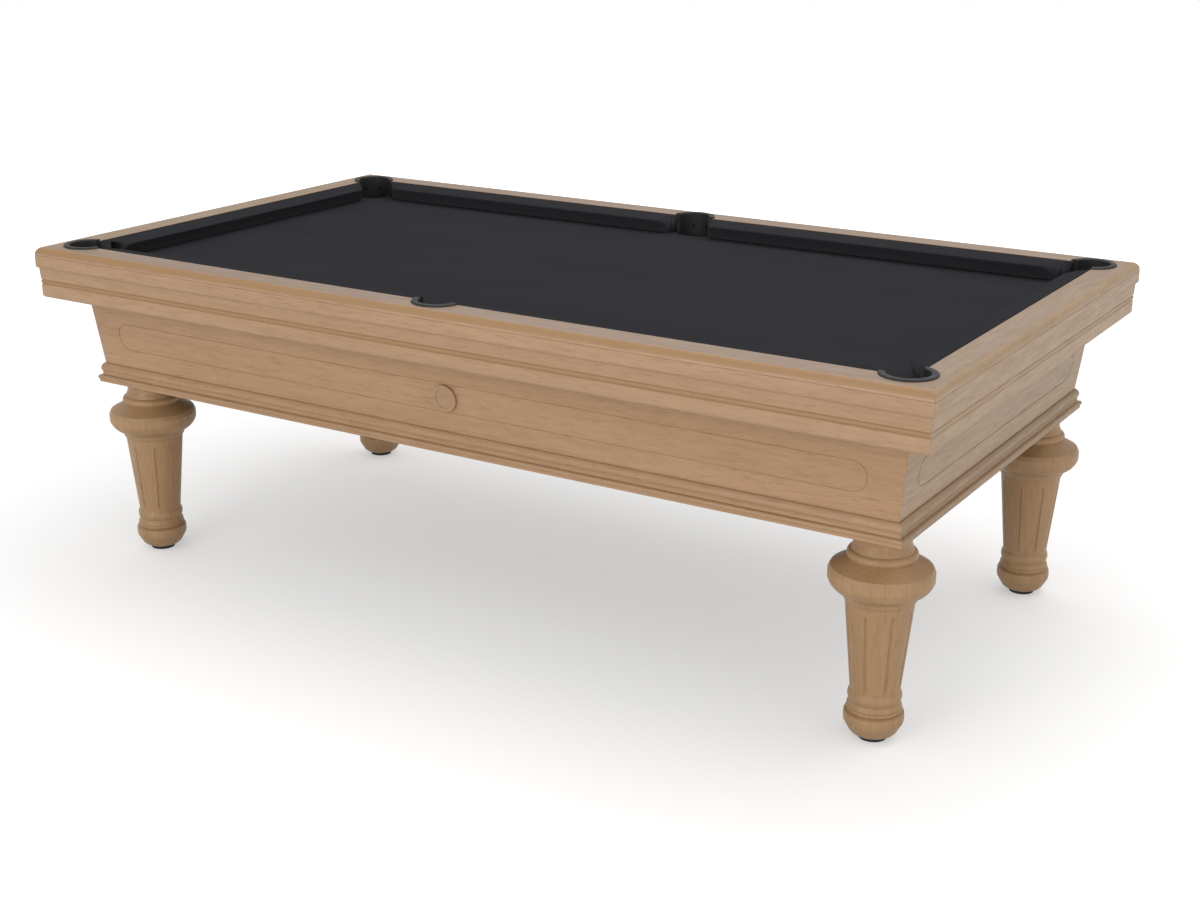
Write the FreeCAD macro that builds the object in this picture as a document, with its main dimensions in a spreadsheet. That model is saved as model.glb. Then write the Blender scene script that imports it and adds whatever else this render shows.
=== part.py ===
"""Billiard table with turned legs, three-piece slate bed, moulded rails and six drop pockets.

The long sides lie along X, the floor is at Z zero and the origin is under the middle of the bed.
Each side is drawn once as the front side, which faces -Y, and is turned about Z for the others.
"""
import FreeCAD, Part
import math
import os
import re
import Sketcher

doc = FreeCAD.newDocument("BilliardTable")

# Driving dimensions, in millimetres and degrees, by the piece that they belong to
DIMENSIONS = {
    # Playing field, and the heights above the floor
    "PlayLength": 2000,
    "PlayWidth": 1000,
    "BedHeight": 734,
    "SlateThickness": 19,
    "ClothThickness": 1,
    "RailHeight": 44,
    # Slate bed
    "SlateMargin": 45,
    # Pockets
    "PocketRadius": 41,
    "LinerWall": 3,
    "LinerClearance": 0.3,
    "LinerFlange": 11,
    "LinerProud": 4,
    "LinerRound": 3,
    "LinerFoot": 3,
    "CornerPocketInset": 14,
    "MiddlePocketInset": 5,
    "CornerMouth": 86,
    "MiddleMouth": 136,
    "MiddleThroat": 98,
    "MiddleDropDepth": 23,
    "MiddleDropRadius": 146,
    # Pocket boots below the slate
    "BootWall": 3,
    "BootRadius": 42,
    "BootReach": 90,
    "BootDepth": 110,
    "BootClearance": 1,
    "ChuteRadius": 31.5,
    "ChuteSlope": 35,
    "ChuteStart": 3,
    "CornerChuteDrop": 13,
    "MiddleChuteDrop": 23,
    # Cushions
    "CushionWidth": 50,
    "NoseHeight": 36,
    "NoseRound": 4,
    "NoseRadius": 5,
    "CushionFoot": 30,
    "CushionGap": 0.3,
    # Rails
    "RailWidth": 72,
    "RailFlat": 60,
    "BullnoseHeight": 18,
    "BullnoseRadius": 19.5,
    "QuirkHeight": 2,
    "QuirkDepth": 1,
    "TongueWidth": 20,
    "TongueDrop": 2,
    # Skirts under the rails
    "SkirtDepth": 76.5,
    "SkirtInset": 46,
    "OvoloWidth": 5,
    "OvoloHeight": 5,
    "SkirtTaper": 1.5,
    "BeadTop": 33,
    "BeadHeight": 10,
    "BeadRadius": 7,
    "BeadStep": 2,
    "SkirtRound": 8,
    # Cabinet
    "CabinetInsetLong": 69.7,
    "CabinetInsetWide": 79.5,
    "CabinetHeight": 272,
    "FlareAngle": 6.2,
    "ApronThickness": 22,
    "OutlineDrop": 150,
    "OutlineRadius": 32,
    "OutlineMargin": 88,
    "OutlineWidth": 2.4,
    "OutlineDepth": 1,
    "MedallionRadius": 30,
    "MedallionDepth": 6,
    "MedallionRim": 8,
    "MedallionDish": 1.5,
    # Base moulding
    "MouldingHeight": 45.5,
    "MouldingStep": 3,
    "MouldingBulge": 8.7,
    "MouldingBulgeDrop": 15.5,
    "MouldingBulgeRadius": 17,
    "MouldingHollow": 7,
    "MouldingHollowDrop": 28,
    "MouldingHollowRadius": 14,
    "MouldingLip": 12.5,
    "MouldingLipTop": 16,
    "MouldingLipBottom": 6,
    "MouldingLipRadius": 6.1,
    # Frame
    "BeamDepth": 116,
    "BeamWidth": 40,
    "BeamInset": 54,
    "CrossBeamWidth": 80,
    "LegInsetLong": 85.8,
    "LegInsetWide": 104.3,
    "BlockReach": 75,
    # Legs: radii and heights of the turning
    "SoleRadius": 33,
    "SoleHeight": 9,
    "AnkleRadius": 49,
    "AnkleHeight": 20,
    "AnkleRound": 24,
    "FootRadius": 59,
    "FootBottom": 38,
    "FootTop": 58,
    "FootRound": 50,
    "BeadInnerRadius": 53,
    "BeadOneRadius": 56,
    "BeadOneHeight": 61,
    "BeadTwoRadius": 54.5,
    "BeadTwoHeight": 69,
    "BeadThreeHeight": 76,
    "NeckRadius": 50,
    "NeckHeight": 82,
    "RingRadius": 51.5,
    "RingBottom": 85,
    "RingTop": 103,
    "RingRound": 20,
    "ShaftLowRadius": 49.5,
    "ShaftLowHeight": 106,
    "ShaftHighRadius": 68,
    "ShaftHighDrop": 147,
    "CollarLowRadius": 71,
    "CollarLowDrop": 144,
    "CollarHighRadius": 76,
    "CollarHighDrop": 133,
    "BellLowRadius": 81,
    "BellLowDrop": 129,
    "BellRadius": 103.5,
    "BellBottomDrop": 103,
    "BellTopDrop": 87,
    "BellRound": 40,
    "ShoulderRadius": 99,
    "ShoulderDrop": 78,
    "ThroatRadius": 66,
    "ThroatDrop": 60,
    "TorusTopDrop": 42,
    "TorusTopRadius": 61,
    "TorusRound": 11,
    "CoveRadius": 56,
    "CoveDrop": 30,
    "CoveRound": 26,
    "CapRadius": 58,
    "CapDrop": 12,
    "FluteCount": 8,
    "FluteRadius": 3,
    "FluteTip": 6,
    "FluteLift": 0.6,
    "FluteBottom": 113,
    "FluteTopDrop": 160,
    # Screw feet
    "PadRadius": 28.5,
    "PadHeight": 8.7,
    "PadRound": 2,
    "StudRadius": 8,
    "StudLength": 72,
    "StudRise": 3,
    "DiscRadius": 12,
    "DiscHeight": 2.6,
    "DiscGap": 0.3,
    "RunningClearance": 0.05,
    "InsertRadius": 12,
    "InsertLength": 31,
    "StudRoom": 1,
    "StudWellTop": 82,
    # Fasteners
    "RailBoltRadius": 5,
    "RailBoltLength": 52,
    "RailBoltHeadRadius": 10,
    "RailBoltHeadHeight": 7,
    "RailBoltOffset": 31,
    "RailBoltSpacing": 300,
    "BoltRoom": 0.5,
    "SlateScrewRadius": 3,
    "SlateScrewHeadRadius": 6,
    "SlateScrewHeadHeight": 3,
    "SlateScrewLength": 60,
    "SlateScrewMargin": 40,
    "LegBoltRadius": 6,
    "LegBoltInLeg": 92,
    "LegBoltInBlock": 98,
    "PocketScrewRadius": 2,
    "PocketScrewHeadRadius": 4,
    "PocketScrewHeadHeight": 1.5,
    "PocketScrewLength": 16,
    "PocketScrewDrop": 30,
    "PocketScrewAngle": 27,
    "Overrun": 5,
}

sheet = doc.addObject("Spreadsheet::Sheet", "Sizes")
for row, (alias, size) in enumerate(DIMENSIONS.items(), start=1):
    sheet.set(f"A{row}", alias)
    sheet.set(f"B{row}", str(size))
    sheet.setAlias(f"B{row}", alias)
doc.recompute()

# Derived places, as expressions on the sheet
RAIL_TOP = "(BedHeight + RailHeight)"
SLATE_TOP = "(BedHeight - ClothThickness)"
SLATE_BOTTOM = "(BedHeight - ClothThickness - SlateThickness)"
CABINET_BOTTOM = f"({SLATE_BOTTOM} - CabinetHeight)"
WOOD_X = "(PlayLength / 2 + CushionWidth)"
WOOD_Y = "(PlayWidth / 2 + CushionWidth)"
SLATE_X = f"({WOOD_X} + SlateMargin)"
SLATE_Y = f"({WOOD_Y} + SlateMargin)"
CORNER_X = f"({WOOD_X} - CornerPocketInset)"
CORNER_Y = f"({WOOD_Y} - CornerPocketInset)"
MIDDLE_Y = f"({WOOD_Y} - MiddlePocketInset)"
LINER_RADIUS = "(PocketRadius + LinerWall)"
NOTCH_RADIUS = f"({LINER_RADIUS} + LinerClearance)"
FACE_X = f"({WOOD_X} + RailWidth - CabinetInsetLong)"
FACE_Y = f"({WOOD_Y} + RailWidth - CabinetInsetWide)"
BEAM_BOTTOM = f"({SLATE_BOTTOM} - BeamDepth)"
LEG_X = f"({FACE_X} - LegInsetLong)"
LEG_Y = f"({FACE_Y} - LegInsetWide)"
BEAM_Y = f"({LEG_Y} - BeamInset)"
RAIL_BOLT_TOP = f"({SLATE_BOTTOM} + RailBoltLength)"
SCREW_Z = f"({RAIL_TOP} - PocketScrewDrop)"
FLARE = "tan(FlareAngle)"
QUARTER_TURN = 90
FRONT, RIGHT, BACK, LEFT = (QUARTER_TURN * quarter for quarter in range(4))
nodes = []


def bound(expression):
    """The expression with each alias read from the sheet."""
    return re.sub(r"\b([A-Z]\w+)\b", r"Sizes.\1", str(expression))


def size(expression):
    """The expression's present value as a number."""
    return float(sheet.evalExpression(bound(expression)))


def add_node(piece, label):
    """Names the piece and puts it among those that are written."""
    piece.Label = label
    nodes.append(piece)
    return piece


def new_body(name, across="0", along="0", turn=0):
    """An empty body, turned about Z and standing at a place in plan."""
    body = doc.addObject("PartDesign::Body", name)
    body.Placement = FreeCAD.Placement(
        FreeCAD.Vector(), FreeCAD.Rotation(FreeCAD.Vector(0, 0, 1), turn)
    )
    body.setExpression("Placement.Base.x", bound(across))
    body.setExpression("Placement.Base.y", bound(along))
    return body


def new_sketch(body, plane, lift="0", rise="0", tilt="0"):
    """A sketch on an origin plane, lifted along its normal, raised and tilted about its X axis."""
    sketch = body.newObject("Sketcher::SketchObject", f"{body.Name}Sketch")
    origin_plane = next(f for f in body.Origin.OriginFeatures if f.Role == plane)
    sketch.AttachmentSupport = [(origin_plane, "")]
    sketch.MapMode = "FlatFace"
    sketch.AttachmentOffset = FreeCAD.Placement(
        FreeCAD.Vector(), FreeCAD.Rotation(FreeCAD.Vector(1, 0, 0), size(tilt))
    )
    sketch.setExpression("AttachmentOffset.Base.z", bound(lift))
    sketch.setExpression("AttachmentOffset.Base.y", bound(rise))
    sketch.setExpression("AttachmentOffset.Rotation.Angle", bound(tilt))
    return sketch


def fix(sketch, kind, geometry, point, expression):
    """A coordinate of a point, or the radius of an arc, bound to an expression."""
    if kind == "Radius":
        constraint = Sketcher.Constraint(kind, geometry, size(expression))
    else:
        constraint = Sketcher.Constraint(kind, -1, 1, geometry, point, size(expression))
    index = sketch.addConstraint(constraint)
    sketch.setExpression(f"Constraints[{index}]", bound(expression))


def arc_between(start, end, radius, side):
    """The short arc from start to end whose centre lies to the left (1) or right (-1) of the way."""
    chord = end - start
    normal = FreeCAD.Vector(-chord.y, chord.x, 0) / chord.Length
    rise = math.sqrt(max(radius**2 - chord.Length**2 / 4, 0))
    centre = (start + end) / 2 + normal * (rise * side)
    circle = Part.Circle(centre, FreeCAD.Vector(0, 0, 1), radius)
    first, last = (start, end) if side > 0 else (end, start)
    return Part.ArcOfCircle(circle, circle.parameter(first), circle.parameter(last))


def draw(sketch, points):
    """A closed outline. A point is (across, up), or (across, up, radius, side) where an arc leaves it."""
    places = [FreeCAD.Vector(size(p[0]), size(p[1]), 0) for p in points]
    ends = []
    for i, point in enumerate(points):
        start, end = places[i], places[(i + 1) % len(points)]
        if len(point) == 2:
            geometry = sketch.addGeometry(Part.LineSegment(start, end))
            ends.append((geometry, 1, 2))
            continue
        side = point[3]
        geometry = sketch.addGeometry(arc_between(start, end, size(point[2]), side))
        ends.append((geometry, 1, 2) if side > 0 else (geometry, 2, 1))
    for i, point in enumerate(points):
        geometry, first, _ = ends[i]
        before, _, last = ends[i - 1]
        sketch.addConstraint(Sketcher.Constraint("Coincident", before, last, geometry, first))
        fix(sketch, "DistanceX", geometry, first, point[0])
        fix(sketch, "DistanceY", geometry, first, point[1])
        if len(point) > 2:
            fix(sketch, "Radius", geometry, None, point[2])


def draw_circle(sketch, across, up, radius):
    """A circle with its centre and radius bound."""
    centre = FreeCAD.Vector(size(across), size(up), 0)
    circle = Part.Circle(centre, FreeCAD.Vector(0, 0, 1), size(radius))
    geometry = sketch.addGeometry(circle)
    fix(sketch, "DistanceX", geometry, 3, across)
    fix(sketch, "DistanceY", geometry, 3, up)
    fix(sketch, "Radius", geometry, None, radius)


def draw_rectangle(sketch, left, low, right, high):
    """A rectangle between two corners."""
    draw(sketch, [(left, low), (right, low), (right, high), (left, high)])


def draw_slot(sketch, half_length, radius, middle):
    """A level slot with round ends, drawn as quarter arcs, at a height."""
    far, near = f"({half_length})", f"(-({half_length}))"
    top, low = f"({middle} + {radius})", f"({middle} - ({radius}))"
    points = [
        (near, low),
        (far, low, radius, 1),
        (f"{far} + {radius}", middle, radius, 1),
        (far, top),
        (near, top, radius, 1),
        (f"{near} - ({radius})", middle, radius, 1),
    ]
    draw(sketch, points)


def pad(body, sketch, length, centred=False):
    """The sketch made solid, along its normal or to both sides."""
    feature = body.newObject("PartDesign::Pad", f"{body.Name}Pad")
    feature.Profile = sketch
    feature.setExpression("Length", bound(length))
    if centred:
        feature.SideType = "Symmetric"
    return feature


def pocket(body, sketch, depth=None):
    """The sketch cut into the body: right through to both sides, or to a depth against its normal."""
    feature = body.newObject("PartDesign::Pocket", f"{body.Name}Pocket")
    feature.Profile = sketch
    if depth is None:
        feature.Type = "ThroughAll"
        feature.SideType = "Symmetric"
    else:
        feature.setExpression("Length", bound(depth))
    return feature


def revolve(body, sketch):
    """The sketch turned about the vertical axis of its plane."""
    feature = body.newObject("PartDesign::Revolution", f"{body.Name}Revolution")
    feature.Profile = sketch
    feature.ReferenceAxis = (sketch, ["V_Axis"])
    feature.Angle = 360
    return feature


def cut(base, tool, name):
    """A boolean cut of one object by another."""
    result = doc.addObject("Part::Cut", name)
    result.Base = base
    result.Tool = tool
    return result


def cylinder(name, radius, height, across, along, low):
    """A bound upright cylinder."""
    piece = doc.addObject("Part::Cylinder", name)
    piece.setExpression("Radius", bound(radius))
    piece.setExpression("Height", bound(height))
    piece.setExpression("Placement.Base.x", bound(across))
    piece.setExpression("Placement.Base.y", bound(along))
    piece.setExpression("Placement.Base.z", bound(low))
    return piece


def gather(name, pieces):
    """Separate solids held together as one node."""
    group = doc.addObject("Part::Compound", name)
    group.Links = pieces
    return add_node(group, name)


def mitre(body, face, half, inward, outward):
    """Cuts both ends of a side at 45 degrees, through the line where both sides have the same offset."""
    sketch = new_sketch(body, "XY_Plane")
    inner, outer = f"({inward} + Overrun)", f"({outward} + Overrun)"
    for sign in ("", "-"):
        draw(sketch, [
            (f"{sign}({half} - {inner})", f"-({face} - {inner})"),
            (f"{sign}({half} + {outer})", f"-({face} + {outer})"),
            (f"{sign}({half} + {outer})", f"-({face} - {inner})"),
        ])
    pocket(body, sketch)


# Pockets: each is drawn as the front middle one, opening towards +Y, then turned and moved

POCKETS = {
    "front_left": (f"-{CORNER_X}", f"-{CORNER_Y}", -45, True),
    "front_middle": ("0", f"-{MIDDLE_Y}", 0, False),
    "front_right": (CORNER_X, f"-{CORNER_Y}", 45, True),
    "back_right": (CORNER_X, CORNER_Y, 135, True),
    "back_middle": ("0", MIDDLE_Y, 180, False),
    "back_left": (f"-{CORNER_X}", CORNER_Y, -135, True),
}



def pocket_screw(name, across, along, turn):
    """A screw through the back wall of a liner into the rail, its head bedded in the wall."""
    body = new_body(name, across, along, turn)
    sketch = new_sketch(body, "XZ_Plane", lift="PocketRadius")
    draw_circle(sketch, "0", SCREW_Z, "PocketScrewRadius")
    pad(body, sketch, "PocketScrewLength")
    sketch = new_sketch(body, "XZ_Plane", lift="PocketRadius - PocketScrewHeadHeight / 2")
    draw_circle(sketch, "0", SCREW_Z, "PocketScrewHeadRadius")
    pad(body, sketch, "PocketScrewHeadHeight")
    return body


screw_angle = size("PocketScrewAngle")
pocket_screws = gather("pocket_screws", [
    pocket_screw(f"Screw{label}{side}", across, along, turn + angle)
    for label, (across, along, turn, _) in POCKETS.items()
    for side, angle in (("Near", -screw_angle), ("Far", screw_angle))
])


# Corner mouths and middle mouths in plan, seen from the front side


def cut_corner_mouths(body, face, half):
    """Clears the round notch and the straight mouth of the pocket at each end of a side."""
    reach = "(CushionWidth + TongueWidth)"
    run = f"(({reach}) * cos(45))"
    wide = f"({NOTCH_RADIUS} * cos(45))"
    for sign in ("", "-"):
        middle_x = f"({half} - CornerPocketInset)"
        middle_y = f"({face} - CornerPocketInset)"
        sketch = new_sketch(body, "XY_Plane")
        draw_circle(sketch, f"{sign}{middle_x}", f"-{middle_y}", NOTCH_RADIUS)
        pocket(body, sketch)
        sketch = new_sketch(body, "XY_Plane")
        draw(sketch, [
            (f"{sign}({middle_x} - {wide})", f"-({middle_y} + {wide})"),
            (f"{sign}({middle_x} + {wide})", f"-({middle_y} - {wide})"),
            (f"{sign}({middle_x} + {wide} - {run})", f"-({middle_y} - {wide} - {run})"),
            (f"{sign}({middle_x} - {wide} - {run})", f"-({middle_y} + {wide} - {run})"),
        ])
        pocket(body, sketch)


def cut_middle_mouth(body, face):
    """Clears the round notch and the flared mouth of the middle pocket."""
    sketch = new_sketch(body, "XY_Plane")
    draw_circle(sketch, "0", f"-({face} - MiddlePocketInset)", NOTCH_RADIUS)
    pocket(body, sketch)
    sketch = new_sketch(body, "XY_Plane")
    nose = "(MiddleMouth / 2 + ClothThickness + LinerClearance)"
    throat = "(MiddleThroat / 2 + ClothThickness + LinerClearance)"
    draw(sketch, [
        (f"-{nose}", f"-({face} - CushionWidth)"),
        (nose, f"-({face} - CushionWidth)"),
        (throat, f"-{face}"),
        (f"-{throat}", f"-{face}"),
    ])
    pocket(body, sketch)


# Rails: cap with the bullnose and the cushion tongue


def rail(label, face, half, turn, middle_pocket):
    """One mitred rail cap, notched round its pockets and bored for its bolts and screws."""
    body = new_body(f"Cap{label}", turn=turn)
    tongue = f"-({face} - TongueWidth)"
    outer = f"-({face} + RailWidth)"
    quirk = f"({RAIL_TOP} - BullnoseHeight - QuirkHeight)"
    sketch = new_sketch(body, "YZ_Plane")
    draw(sketch, [
        (tongue, "BedHeight"),
        (tongue, f"{RAIL_TOP} - TongueDrop"),
        (f"-{face}", f"{RAIL_TOP} - TongueDrop"),
        (f"-{face}", RAIL_TOP),
        (f"-({face} + RailFlat)", RAIL_TOP, "BullnoseRadius", 1),
        (outer, f"{RAIL_TOP} - BullnoseHeight"),
        (f"{outer} + QuirkDepth", f"{quirk} + QuirkHeight / 2"),
        (outer, quirk),
        (outer, "BedHeight"),
    ])
    pad(body, sketch, f"2 * ({half} + RailWidth)", centred=True)
    mitre(body, face, half, "TongueWidth", "RailWidth")
    cut_corner_mouths(body, face, half)
    if middle_pocket:
        cut_middle_mouth(body, face)
    bores = new_sketch(body, "XY_Plane", lift="BedHeight")
    for place in rail_bolt_places(half, middle_pocket):
        draw_circle(bores, place, f"-({face} + RailBoltOffset)", "RailBoltRadius")
    pocket(body, bores, f"{RAIL_BOLT_TOP} - BedHeight").Reversed = True
    return add_node(cut(body, pocket_screws, label), label)


def rail_bolt_places(half, middle_pocket):
    """Bolt places along a side: three to a cushion, clear of the pockets."""
    if middle_pocket:
        centre = f"({half} / 2)"
        offsets = (f"({centre} - RailBoltSpacing)", centre, f"({centre} + RailBoltSpacing)")
        return [f"{sign}{offset}" for sign in ("", "-") for offset in offsets]
    return ["-RailBoltSpacing", "0", "RailBoltSpacing"]


rail("rail_front", WOOD_Y, WOOD_X, FRONT, True)
rail("rail_right", WOOD_X, WOOD_Y, RIGHT, False)
rail("rail_back", WOOD_Y, WOOD_X, BACK, True)
rail("rail_left", WOOD_X, WOOD_Y, LEFT, False)


# Skirts: the moulded boards that hang under the rails


def skirt(name, face, half, turn):
    """One mitred skirt with the ovolo, the taper, the bead band and the rounded foot."""
    body = new_body(name, turn=turn)
    low = "(BedHeight - SkirtDepth)"
    inner = f"-({face} + SkirtInset)"
    board = f"({face} + RailWidth - OvoloWidth)"
    bead_top = "(BedHeight - BeadTop)"
    bead_low = f"({bead_top} - BeadHeight)"
    sketch = new_sketch(body, "YZ_Plane")
    draw(sketch, [
        (inner, low),
        (inner, "BedHeight"),
        (f"-({face} + RailWidth)", "BedHeight", "OvoloWidth", 1),
        (f"-{board}", "BedHeight - OvoloHeight"),
        (f"-({board} - SkirtTaper)", f"{bead_top} + BeadStep"),
        (f"-({board} - SkirtTaper - BeadStep)", bead_top, "BeadRadius", 1),
        (f"-({board} - SkirtTaper - BeadStep)", bead_low),
        (f"-({board} - BeadStep)", f"{bead_low} - BeadStep"),
        (f"-({board} - BeadStep)", f"{low} + SkirtRound", "SkirtRound", 1),
        (f"-({board} - BeadStep - SkirtRound)", low),
    ])
    pad(body, sketch, f"2 * ({half} + RailWidth)", centred=True)
    mitre(body, face, half, "0", "RailWidth")
    return body


gather("skirts_long", [
    skirt("SkirtFront", WOOD_Y, WOOD_X, FRONT),
    skirt("SkirtBack", WOOD_Y, WOOD_X, BACK),
])
gather("skirts_end", [
    skirt("SkirtRight", WOOD_X, WOOD_Y, RIGHT),
    skirt("SkirtLeft", WOOD_X, WOOD_Y, LEFT),
])


# Cushions: a rubber nose glued to the rail's tongue, and the cloth sewn over it


def cushion_outline(body, face, inset):
    """The section of a cushion, drawn in by an inset from the cloth's outer face."""
    top = f"({RAIL_TOP} - TongueDrop + ClothThickness)"
    nose = f"({face} - CushionWidth + {inset})"
    nose_height = "(BedHeight + NoseHeight)"
    foot = f"(BedHeight + CushionGap + {inset})"
    sketch = new_sketch(body, "YZ_Plane")
    points = [
        (f"-({face} - TongueWidth)", foot),
        (f"-({face} - CushionFoot + {inset})", foot),
        (f"-{nose}", f"{nose_height} - NoseRound", "NoseRadius", 1),
        (f"-({nose} + NoseRound)", f"{nose_height} + NoseRound / 2 - {inset} / 2"),
    ]
    if inset == "0":
        points += [
            (f"-({face} - TongueWidth)", top),
            (f"-{face}", top),
            (f"-{face}", f"{top} - ClothThickness"),
            (f"-({face} - TongueWidth)", f"{top} - ClothThickness"),
        ]
    else:
        points += [(f"-({face} - TongueWidth)", f"{top} - ClothThickness")]
    draw(sketch, points)
    return sketch


def cut_corner_facing(body, face, half, inset, sign):
    """Cuts a cushion's end along its corner mouth, at 45 degrees in plan."""
    mouth = f"((CornerMouth / 2 + {inset}) / cos(45))"
    back = "Overrun"
    front = "(CushionWidth + Overrun)"
    sketch = new_sketch(body, "XY_Plane")
    draw(sketch, [
        (f"{sign}({half} - {mouth} + {back})", f"-({face} + {back})"),
        (f"{sign}({half} + {mouth})", f"-({face} + {back})"),
        (f"{sign}({half} + {mouth})", f"-({face} - {front})"),
        (f"{sign}({half} - {mouth} - {front})", f"-({face} - {front})"),
    ])
    pocket(body, sketch)


def cut_middle_facing(body, face, inset, sign):
    """Cuts a cushion's end along its middle mouth."""
    nose = f"{sign}(MiddleMouth / 2 + {inset})"
    throat = f"{sign}(MiddleThroat / 2 + {inset})"
    sketch = new_sketch(body, "XY_Plane")
    draw(sketch, [
        (f"{sign}(-Overrun)", f"-({face} + Overrun)"),
        (throat, f"-({face} + Overrun)"),
        (throat, f"-{face}"),
        (nose, f"-({face} - CushionWidth)"),
        (nose, f"-({face} - CushionWidth - Overrun)"),
        (f"{sign}(-Overrun)", f"-({face} - CushionWidth - Overrun)"),
    ])
    pocket(body, sketch)


def cushion_form(name, face, half, turn, side, inset):
    """A cushion's solid: side is 0 for an end cushion, or the sign of its half of a long side."""
    body = new_body(name, turn=turn)
    sketch = cushion_outline(body, face, inset)
    pad(body, sketch, f"2 * {half}", centred=True)
    for sign, value in (("", 1), ("-", -1)):
        if side in (0, value):
            cut_corner_facing(body, face, half, inset, sign)
        else:
            cut_middle_facing(body, face, inset, "-" if sign == "" else "")
            sketch = new_sketch(body, "XY_Plane")
            draw_rectangle(
                sketch, "0", f"-({face} + Overrun)",
                f"{sign}({half} + Overrun)", f"-({face} - CushionWidth - Overrun)",
            )
            pocket(body, sketch)
    return body


def cushion(label, face, half, turn, side):
    """The rubber and its cloth, which wraps the rubber's faces and both cut ends."""
    rubber = cushion_form(f"cushion_rubber_{label}", face, half, turn, side, "ClothThickness")
    add_node(rubber, f"cushion_rubber_{label}")
    cover = cushion_form(f"Cover{label}", face, half, turn, side, "0")
    cloth = cut(cover, rubber, f"cushion_cloth_{label}")
    add_node(cloth, f"cushion_cloth_{label}")


cushion("front_left", WOOD_Y, WOOD_X, FRONT, -1)
cushion("front_right", WOOD_Y, WOOD_X, FRONT, 1)
cushion("right", WOOD_X, WOOD_Y, RIGHT, 0)
cushion("back_right", WOOD_Y, WOOD_X, BACK, -1)
cushion("back_left", WOOD_Y, WOOD_X, BACK, 1)
cushion("left", WOOD_X, WOOD_Y, LEFT, 0)


def pocket_liner(label, across, along, turn, corner):
    """A moulded rim with the wall behind the mouth, ending where the rail's inner edges begin."""
    body = new_body(f"Rim{label}", across, along, turn)
    foot = f"({SLATE_BOTTOM} + LinerFoot)"
    crest = f"({RAIL_TOP} + LinerProud)"
    rim = "(PocketRadius + LinerFlange + LinerRound)"
    sketch = new_sketch(body, "XZ_Plane")
    draw(sketch, [
        ("PocketRadius", foot),
        (LINER_RADIUS, foot),
        (LINER_RADIUS, RAIL_TOP),
        (rim, RAIL_TOP, "LinerProud", 1),
        (f"{rim} - LinerRound", crest),
        ("PocketRadius + LinerRound", crest, "LinerRound", 1),
        ("PocketRadius", f"{crest} - LinerRound"),
    ])
    revolve(body, sketch)
    sketch = new_sketch(body, "XY_Plane")
    reach = f"({rim} + Overrun)"
    if corner:
        inset = "(CornerPocketInset / cos(45))"
        draw(sketch, [
            ("0", f"-{inset}"),
            (f"{reach} * 2", f"{reach} * 2 - {inset}"),
            (f"-{reach} * 2", f"{reach} * 2 - {inset}"),
        ])
    else:
        draw_rectangle(sketch, f"-{reach}", "-MiddlePocketInset", reach, reach)
    pocket(body, sketch)
    liner = cut(body, pocket_screws, f"pocket_liner_{label}")
    return add_node(liner, f"pocket_liner_{label}")


for label, (across, along, turn, corner) in POCKETS.items():
    pocket_liner(label, across, along, turn, corner)


# Boots: the moulded chutes under the slate, where the dropped balls roll in and rest


def boot_form(name, across, along, turn, corner, growth, rise="0"):
    """The room of a boot: a short shaft, a round chute sloping inwards and a cup, grown all round."""
    body = new_body(name, across, along, turn)
    drop = "CornerChuteDrop" if corner else "MiddleChuteDrop"
    top = f"({SLATE_BOTTOM} + {rise})"
    shaft_low = f"({SLATE_BOTTOM} - {drop} - {growth})"
    shaft = new_sketch(body, "XY_Plane", lift=shaft_low)
    draw_circle(shaft, "0", "0", f"{LINER_RADIUS} + {growth}")
    pad(body, shaft, f"{top} - {shaft_low}")
    first = f"(ChuteStart - {growth})"
    start = f"(PocketRadius - ChuteRadius * sin(ChuteSlope) - {first} * cos(ChuteSlope))"
    fall = f"({drop} - ChuteRadius * cos(ChuteSlope) + {first} * sin(ChuteSlope))"
    chute = new_sketch(body, "XZ_Plane", lift=start, rise=f"{SLATE_BOTTOM} - {fall}", tilt="-ChuteSlope")
    draw_circle(chute, "0", "0", f"ChuteRadius + {growth}")
    pad(body, chute, f"(BootReach + {start}) / cos(ChuteSlope)").Reversed = True
    cup_low = f"({SLATE_BOTTOM} - BootDepth - {growth})"
    cup = new_sketch(body, "XY_Plane", lift=cup_low)
    draw_circle(cup, "0", "BootReach", f"BootRadius + {growth}")
    pad(body, cup, f"{top} - {cup_low}")
    above = new_sketch(body, "XY_Plane", lift=top)
    reach = "(BootReach + BootRadius + LinerFlange)"
    draw_rectangle(above, f"-{reach}", f"-{reach}", reach, reach)
    pocket(body, above, "ChuteRadius * 2").Reversed = True
    return body


for label, (across, along, turn, corner) in POCKETS.items():
    outside = boot_form(f"Boot{label}", across, along, turn, corner, "BootWall")
    inside = boot_form(f"Inside{label}", across, along, turn, corner, "0", "Overrun")
    add_node(cut(outside, inside, f"pocket_boot_{label}"), f"pocket_boot_{label}")

boot_room = doc.addObject("Part::MultiFuse", "BootRoom")
boot_room.Shapes = [
    boot_form(
        f"Room{label}", across, along, turn, corner, "(BootWall + BootClearance)", "Overrun",
    )
    for label, (across, along, turn, corner) in POCKETS.items()
]


# Fasteners of the bed


def side_places(face, half, middle_pocket):
    """Bolt places in plan along a front or back side, or turned for an end."""
    return [(place, f"({face} + RailBoltOffset)") for place in rail_bolt_places(half, middle_pocket)]


rail_bolt_spots = []
for place, out in side_places(WOOD_Y, WOOD_X, True):
    rail_bolt_spots += [(place, f"-{out}"), (place, out)]
for place, out in side_places(WOOD_X, WOOD_Y, False):
    rail_bolt_spots += [(f"-{out}", place), (out, place)]


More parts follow.
